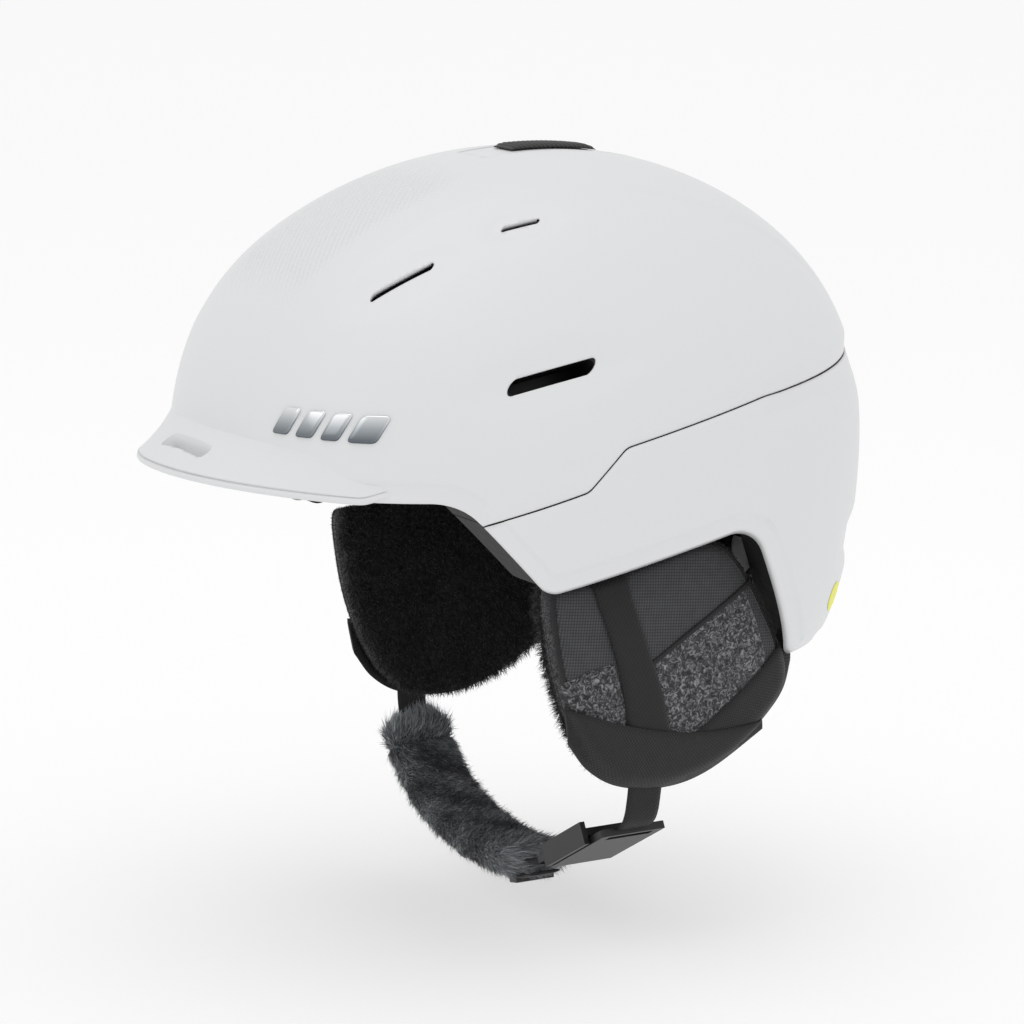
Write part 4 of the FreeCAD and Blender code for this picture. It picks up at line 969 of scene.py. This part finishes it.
def makeEarPad(side, word):
    inner, seam, outer = earShape["innerX"], earShape["seamX"], earShape["outerX"]
    # fleece lining towards the ear
    pairs = [(s, inner + 1.2 - 2.2 * (1 - s ** 2)) for s in np.linspace(0.03, 0.93, 20)]
    pairs += edgeBow(inner + 1.2, seam + 0.4, 0.95, 9)
    pairs += [(s, seam + 0.4) for s in (0.9, 0.6, 0.03)]
    rows = ringRows(earLine, earMiddle, pairs)
    rows[..., 0] += ripple(rows, 16, 0.5, 3)
    lining = tube("earLining." + word, sided(rows, side), blackFleece)
    settle(lining, "shell", "fleece_black", "ear_pad_" + word)
    # heather gusset round the pad
    pairs = [(0.03, seam), (0.6, seam), (0.9, seam)] + edgeBow(seam + 0.1, outer - 0.4, 0.955, 13)
    pairs += [(0.9, outer - 0.4), (0.5, outer - 0.4), (0.03, outer - 0.4)]
    gussetRows = ringRows(earLine, earMiddle, pairs)
    gusset = tube("earGusset." + word, sided(gussetRows, side), heatherFleece)
    settle(gusset, "shell", "fleece_black")
    # pile on the lining and along its edge
    grid = sided(rows, side)
    edgeRow = np.zeros(grid.shape[:2])
    edgeRow[:29] = 1.0
    spots, normals, ahead, i, _ = scatter(grid, 30000, 11, edgeRow)
    ways = normals + np.array([0, -0.15, -0.35]) + np.random.default_rng(5).normal(0, 0.35, spots.shape)
    curls = np.random.default_rng(6).normal(0, 1, spots.shape) + normals * 0.4 + np.array([0, 0, -0.8])
    rim = np.clip((i - 20) / 4, 0, 1)
    fur = pile("earLiningPile." + word, spots, ways, curls, 3.4 - 0.8 * rim, 0.3, blackFibre, 12,
               0.25 + 0.4 * rim)
    settle(fur, "shell", "fleece_black")
    spots, normals, ahead, i, _ = scatter(sided(gussetRows[3:16], side), 16000, 21)
    ways = normals + np.random.default_rng(8).normal(0, 0.5, spots.shape)
    curls = np.random.default_rng(9).normal(0, 1, spots.shape)
    fuzz = pile("earGussetPile." + word, spots, ways, curls, 1.1, 0.22, heatherFibre, 13)
    settle(fuzz, "shell", "fleece_black")
    # woven cover with corded edges
    coverLine = earMiddle + (earLine - earMiddle) * 0.955
    rows = patchRows(coverLine, 0.0, 1.4, 220, soft=True)
    folds = ripple(rows * np.array([1, 1.0, 2.2]), 34, 0.35, 17)
    rows[..., 0] += folds * (1 - np.clip(earShare(rows[..., 1:]), 0, 1) ** 4)
    cover = patchMap(tube("earCover." + word, sided(rows, side), coverWeave))
    settle(cover, "shell", "cover_weave", "ear_cover_" + word)
    for label, share, lift, radius, made in (("Outer", 0.965, 0.2, 1.25, elasticKnit),
                                             ("Inner", 0.985, -3.4, 0.9, webbingWeave)):
        line = earMiddle + (earLine - earMiddle) * share
        turns = np.linspace(0, 2 * np.pi, 10, endpoint=False)
        outward = unit(line - earMiddle)
        flat = line[:, None] + outward[:, None] * (np.cos(turns) * radius)[None, :, None]
        x = faceX(line)[:, None] + lift + (np.sin(turns) * radius)[None]
        length = np.linspace(0, np.linalg.norm(np.diff(line, axis=0), axis=1).sum(), len(line) + 1)
        cord = tube("earPiping" + label + "." + word, sided(np.concatenate([x[..., None], flat], -1), side),
                    made, True, length, np.linspace(0, 2 * np.pi * radius, 11))
        settle(cord, "shell", "webbing_black")
    # felt grip patches, let into the cover
    feltBack = [(9, -57), (31, -44), (50, -33.5), (56, -47), (60.5, -62), (54, -74), (42, -84), (30, -90),
                (13, -90)]
    feltFront = [(-30, -62), (-19, -58), (-9, -56), (-4, -72), (0, -84), (-14, -82), (-24, -78)]
    for label, outline in (("Back", feltBack), ("Front", feltFront)):
        rows = patchRows(outline, 1.3, 0.7)
        rows[..., 0] += ripple(rows, 3.2, 0.16, 23)
        patch = patchMap(tube("earFelt" + label + "." + word, sided(rows, side), feltCloth))
        settle(patch, "shell", "cover_weave")
    welt, reach, girth = strapGrid([(7, -59.5), (30, -46), (50, -34.5), (60, -28)],
                                   [(6, -57.5), (29, -44), (49, -32.5), (59, -26)], 1.2, 1.2, 60, 7)
    settle(tube("earWelt." + word, sided(welt, side), elasticKnit, False, reach, girth),
           "shell", "webbing_black")
    # webbing over the front, elastic round the back and the foot
    front, reach, girth = strapGrid([(-19, -17), (-16.5, -30), (-10, -49), (-5.5, -66), (-3, -84), (-2, -96)],
                                    [(-2.5, -16), (-1.5, -30), (5.6, -52), (11.5, -68), (15.5, -84),
                                     (17, -96)],
                                    2.2, 1.1)
    settle(tube("earStrapFront." + word, sided(front, side), webbingWeave, False, reach, girth),
           "shell", "webbing_black", "strap_front_" + word)
    rear, reach, girth = strapGrid([(73, -47), (68, -56), (60, -64), (48, -73.5), (36, -82), (24, -90)],
                                   [(76, -66), (72, -77.5), (64, -87), (53, -96), (42, -101.5), (30, -105)],
                                   2.3, 1.1)
    settle(tube("earStrapRear." + word, sided(rear, side), elasticKnit, False, reach, girth),
           "shell", "webbing_black", "strap_rear_" + word)
    foot, reach, girth = strapGrid([(-28, -72), (-18, -75.5), (-4, -80.5), (14, -85), (34, -87.5), (61, -87)],
                                   [(-25.5, -87), (-17, -98), (-4, -105.8), (16, -109), (36, -105.5),
                                    (62, -92)],
                                   3.6, 1.3)
    settle(tube("earSleeve." + word, sided(foot, side), elasticKnit, False, reach, girth),
           "shell", "webbing_black", "ear_sleeve_" + word)


for side, word in ((1, "left"), (-1, "right")):
    makeEarPad(side, word)
print("ear pads sewn")

# ---- chin strap --------------------------------------------------------
chinShape = {
    "left": [(88.6, 8, -99), (88.4, 8, -106), (87.2, 8, -113), (86.0, 7.8, -118.5), (84.0, 7.4, -122.6)],
    "right": [(-88.6, 2, -99), (-88.4, 2, -106), (-87.4, 2.0, -113), (-85.0, 2.2, -121), (-79.5, 2.6, -131),
              (-67.5, 3.0, -141.5), (-51, 3.3, -149.5), (-32, 3.5, -154), (-10, 3.2, -155.4),
              (10, 2.6, -154.0)],
    "pad": [(-87.5, 2.2, -117.5), (-84.5, 2.3, -122.5), (-79.5, 2.6, -131), (-67.5, 3.0, -141.5),
            (-51, 3.3, -149.5), (-32, 3.5, -154), (-10, 3.2, -155.4), (10, 2.6, -154.0), (15, 2.4, -153)],
    "padWidth": 27.0, "padWall": 10.0,
}


def bandAlong(route, width, wall, count=120, across=9, crown=0.0):
    # a band carried along a route, its width along Y and its wall square to the route
    line = smoothLine(route, count)
    ahead = unit(np.gradient(line, axis=0))
    wide = unit(np.array([0.0, 1.0, 0.0]) - ahead * ahead[:, 1:2])
    out = np.cross(ahead, wide)
    share = np.linspace(-1, 1, across)
    rim = 0.35 + 0.65 * np.sqrt(np.clip(1 - share ** 8, 0, 1))
    u = np.concatenate([share, share[::-1]]) * width / 2
    v = np.concatenate([rim, -rim[::-1]]) * wall / 2
    grid = line[:, None] + wide[:, None] * u[None, :, None] + out[:, None] * v[None, :, None]
    reach = np.concatenate([[0], np.cumsum(np.linalg.norm(np.diff(line, axis=0), axis=1))])
    girth = np.concatenate([np.linspace(0, width, across), np.linspace(width, 2 * width, across + 1)])
    return grid, reach, girth, line, wide, out


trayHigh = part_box("buckle_tray")[1]
trayEnd = (trayHigh[0] / mm - 3.0, 7.0, trayHigh[2] / mm - 2.2)
grid, reach, girth, *_ = bandAlong(chinShape["left"] + [trayEnd], 15.0, 1.3)
strap = tube("chinStrapLeft", grid, webbingWeave, False, reach, girth)
settle(strap, None, "webbing_black", "chin_strap_left", "strap_drop_left")
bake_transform(strap)
grid, reach, girth, *_ = bandAlong(chinShape["right"] + [(30.5, 2.0, -150.6)], 13.0, 1.3)
strap = tube("chinStrapRight", grid, webbingWeave, False, reach, girth)
settle(strap, None, "webbing_black", "chin_strap_right", "strap_drop_right")
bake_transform(strap)

# the fleece sleeve: a flattened oval
line = smoothLine(chinShape["pad"], 110)
ahead = unit(np.gradient(line, axis=0))
wide = unit(np.array([0.0, 1.0, 0.0]) - ahead * ahead[:, 1:2])
out = np.cross(ahead, wide)
turns = np.linspace(0, 2 * np.pi, 72, endpoint=False)
power = 0.62
u = np.sign(np.cos(turns)) * np.abs(np.cos(turns)) ** power * chinShape["padWidth"] / 2
v = np.sign(np.sin(turns)) * np.abs(np.sin(turns)) ** power * chinShape["padWall"] / 2
endFade = np.sqrt(np.clip(np.minimum(np.linspace(0, 1, 110), np.linspace(1, 0, 110)) / 0.05, 0, 1))
size = (0.55 + 0.45 * endFade)[:, None, None]
padGrid = line[:, None] + (wide[:, None] * u[None, :, None] + out[:, None] * v[None, :, None]) * size
padGrid = padGrid + rowNormals(padGrid) * ripple(padGrid, 9, 0.35, 31)[..., None]
chinPad = tube("chinPadFleece", padGrid, greyPile)
settle(chinPad, "chin_right", "fleece_grey", "chin_pad")
spots, normals, ahead, i, j = scatter(padGrid, 46000, 41)
place = i / 110
flare = np.clip((place - 0.8) / 0.2, 0, 1) - np.clip((0.1 - place) / 0.1, 0, 1)
comb = ahead * (0.45 + 0.9 * np.abs(flare))[:, None] * np.where(flare < 0, -1, 1)[:, None]
ways = normals * (0.55 - 0.2 * np.abs(flare))[:, None] + comb + np.array([0, 0.25, 0]) \
    + np.random.default_rng(42).normal(0, 0.22, spots.shape)
curls = comb + np.array([0, 0.3, -0.3]) + np.random.default_rng(43).normal(0, 0.5, spots.shape)
length = 3.6 + 3.4 * np.abs(flare)
bright = 0.42 + 0.35 * np.abs(flare) + 0.12 * ripple(spots, 14, 1.0, 44)
fur = pile("chinPadPile", spots, ways, curls, length, 0.3, greyFibre, 45, bright)
settle(fur, "chin_right", "fleece_grey")

# folded tail under the sleeve
tail = [(-54, 3.3, -155.8), (-44, 3.4, -159), (-30, 3.5, -161), (-10, 3.2, -162.4), (8, 2.6, -161.4),
        (22, -2.0, -158.0), (33, -4.0, -153.8)]
grid, reach, girth, *_ = bandAlong(tail, 13.0, 1.3)
settle(tube("chinStrapTail", grid, webbingWeave, False, reach, girth),
       "chin_right", "webbing_black", "strap_tail")
print("chin strap sewn")

# ---- comfort pads ------------------------------------------------------
def comfortPad(name, node, place, count=96, square=0.35):
    # a pillow between two insets: rings of a squared oval, u and v from -1 to 1
    turns = np.linspace(0, 2 * np.pi, count, endpoint=False)
    u = np.sign(np.cos(turns)) * np.abs(np.cos(turns)) ** square
    v = np.sign(np.sin(turns)) * np.abs(np.sin(turns)) ** square
    rows = []
    profile = [(s, 33.2) for s in np.linspace(0.03, 0.9, 14)]
    profile += [(0.95, 32.3), (0.98, 30.6), (0.985, 28.6), (0.97, 27.0), (0.9, 26.5), (0.5, 26.4), (0.03, 26.4)]
    for share, inset in profile:
        rows.append(place(u * share, v * share, inset))
    rows = np.stack(rows)
    pad = tube(name, rows, blackFleece)
    settle(pad, "liner", "fleece_black", node)
    spots, normals, ahead, i, _ = scatter(rows[:17], 9000, 51)
    ways = normals + np.random.default_rng(52).normal(0, 0.4, spots.shape)
    curls = np.random.default_rng(53).normal(0, 1, spots.shape) + np.array([0, 0, -0.5])
    settle(pile(name + "Pile", spots, ways, curls, 2.6, 0.34, blackFibre, 54, 0.3), "liner", "fleece_black")


def levelPlace(first, last, low, high):
    def place(u, v, inset):
        turn = np.radians((first + last) / 2 + u * (last - first) / 2)
        rise = edgeRise(turn, lambda y: (low + high) / 2 + v * (high - low) / 2 + 0 * y)
        return shellSpot(turn, rise, inset)
    return place


comfortPad("browPad", "brow_pad", levelPlace(-49, 49, 17.5, 52))
comfortPad("sidePad.left", "side_pad_left", levelPlace(59, 110, 16.5, 38))
comfortPad("sidePad.right", "side_pad_right", levelPlace(-110, -59, 16.5, 38))
comfortPad("rearPad.left", "rear_pad_left", levelPlace(132, 163, 17.5, 44))
comfortPad("rearPad.right", "rear_pad_right", levelPlace(-163, -132, 17.5, 44))
comfortPad("crownPad", "crown_pad", lambda u, v, inset: archSpot(83.5 + 26 * u, 23 * v, inset))

low, high = (np.array(c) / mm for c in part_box("cradle_pad"))
middle, half = (low + high) / 2, (high - low) / 2
turns = np.linspace(0, 2 * np.pi, 72, endpoint=False)
u = np.sign(np.cos(turns)) * np.abs(np.cos(turns)) ** 0.6 * half[0]
v = np.sign(np.sin(turns)) * np.abs(np.sin(turns)) ** 0.6 * half[2]
rows = [np.stack([middle[0] + u * s, np.full(72, middle[1] + y), middle[2] + v * s], -1)
        for s, y in [(s, -2.8 + 1.2 * s ** 2) for s in np.linspace(0.03, 0.92, 10)]
        + [(0.97, -0.8), (0.985, 0.6), (0.97, 1.8), (0.9, 2.6), (0.5, 2.8), (0.03, 2.8)]]
settle(tube("cradlePad", np.stack(rows), blackFleece), "cradle", "fleece_black", "cradle_pad")
print("comfort pads sewn")

# ---- carried-over pieces ----------------------------------------------
carried = {
    "foam_upper": beadFoam, "foam_lower": beadFoam, "slider_track": shellPaint,
    "vent_slider": blackMoulding, "vent_shutter": blackMoulding, "slip_liner": slipSheet,
    "slip_anchors": slipRubber, "cradle_rail": blackMoulding, "occipital_cradle": blackMoulding,
    "dial_housing": blackMoulding, "dial_pinion": blackMoulding, "fit_dial": blackMoulding,
    "fit_band_left": blackMoulding, "fit_band_right": blackMoulding,
    "goggle_clip_base": shellPaint, "goggle_clip": shellPaint, "goggle_clip_pin": steelPin,
    "brow_badge": badgeChrome, "liner_sticker": yellowFilm, "ear_mount_left": blackMoulding,
    "ear_mount_right": blackMoulding, "buckle_tray": blackMoulding, "buckle_latch": blackMoulding,
    "tray_magnets": nickelPlate, "latch_magnets": nickelPlate, "strap_keepers": blackMoulding,
    "strap_adjuster": blackMoulding,
}
for word, made in carried.items():
    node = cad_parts[word]
    for slotHolder in node.material_slots:
        slotHolder.material = made
print("carried-over pieces finished")

# ---- floor, light and camera -------------------------------------------
stageShape = {"floor": -0.178, "half": 4.0, "back": 2.6}
floorPaint, tree, shader = finish("palePaperSweep", "#BCBCBC", 0.9, Emission_Strength=0.49)
shader.inputs["Emission Color"].default_value = (1, 1, 1, 1)
fleck = addNode(tree, "ShaderNodeTexNoise", {"Scale": 6.0, "Detail": 3.0}, {"Vector": objectPlace(tree)})
bump(tree, shader, fleck.outputs["Fac"], 0.02, 0.001)

s = np.linspace(0, 1, 60)
climb = (s - 0.55) / 0.45 * np.pi / 2
away = np.where(s < 0.55, s / 0.55 * stageShape["back"], stageShape["back"] + 1.2 * np.sin(climb))
lift = np.where(s < 0.55, 0, 1.2 * (1 - np.cos(climb)))
# the sweep runs away from the camera
azimuth, elevation = np.radians(60.06), np.radians(11.27)
view = np.array([np.sin(azimuth), -np.cos(azimuth)])
depthLine = away + 3.0 * s - 3.0
across = np.linspace(-stageShape["half"], stageShape["half"], 40)
sideways = np.array([-view[1], view[0]])
base = sideways * across[None, :, None] - view * depthLine[:, None, None]
level = np.broadcast_to((lift + stageShape["floor"])[:, None, None], (60, 40, 1))
floorPoints = np.concatenate([base, level], -1)
i, j = np.arange(59)[:, None], np.arange(39)[None]
floorFaces = np.stack([i * 40 + j, i * 40 + j + 1, (i + 1) * 40 + j + 1, (i + 1) * 40 + j], -1).reshape(-1, 4)
floorMesh = bpy.data.meshes.new("floorSweep")
floorMesh.from_pydata(floorPoints.reshape(-1, 3).tolist(), [], floorFaces.tolist())
floorMesh.shade_smooth()
floorMesh.materials.append(floorPaint)
floor = bpy.data.objects.new("floorSweep", floorMesh)
bpy.context.scene.collection.objects.link(floor)

world = bpy.data.worlds.new("softStudio")
bpy.context.scene.world = world
world.use_nodes = True
world.node_tree.nodes["Background"].inputs["Color"].default_value = (1, 1, 1, 1)
world.node_tree.nodes["Background"].inputs["Strength"].default_value = 0.84


def softLamp(name, place, size, power, aim=(0, 0, -0.03)):
    lamp = bpy.data.lights.new(name, "AREA")
    lamp.shape, lamp.size, lamp.energy = "DISK", size, power
    holder = bpy.data.objects.new(name, lamp)
    holder.location = place
    way = np.array(aim) - np.array(place)
    flat = np.hypot(way[0], way[1])
    holder.rotation_euler = (np.arctan2(flat, -way[2]), 0, np.arctan2(way[1], way[0]) - np.pi / 2)
    bpy.context.scene.collection.objects.link(holder)
    return holder


softLamp("topLamp", (0.2, -0.2, 1.7), 1.6, 5)
softLamp("frontLamp", (0.4, -1.9, 0.9), 1.2, 1.6)
softLamp("sideLamp", (2.0, 0.4, 0.8), 1.2, 1.0)

target = np.array([0.0, 0.0, -0.0144])
lens = bpy.data.cameras.new("viewCamera")
lens.lens, lens.sensor_width = 141.75, 36.0
lens.clip_start, lens.clip_end = 0.05, 50
camera = bpy.data.objects.new("viewCamera", lens)
way = np.array([np.sin(azimuth) * np.cos(elevation), -np.cos(azimuth) * np.cos(elevation), np.sin(elevation)])
camera.location = target + 1.6 * way
camera.rotation_euler = (np.pi / 2 - elevation, 0, azimuth)
bpy.context.scene.collection.objects.link(camera)
bpy.context.scene.camera = camera
bpy.context.scene.view_settings.view_transform = "Standard"
print("stage ready")
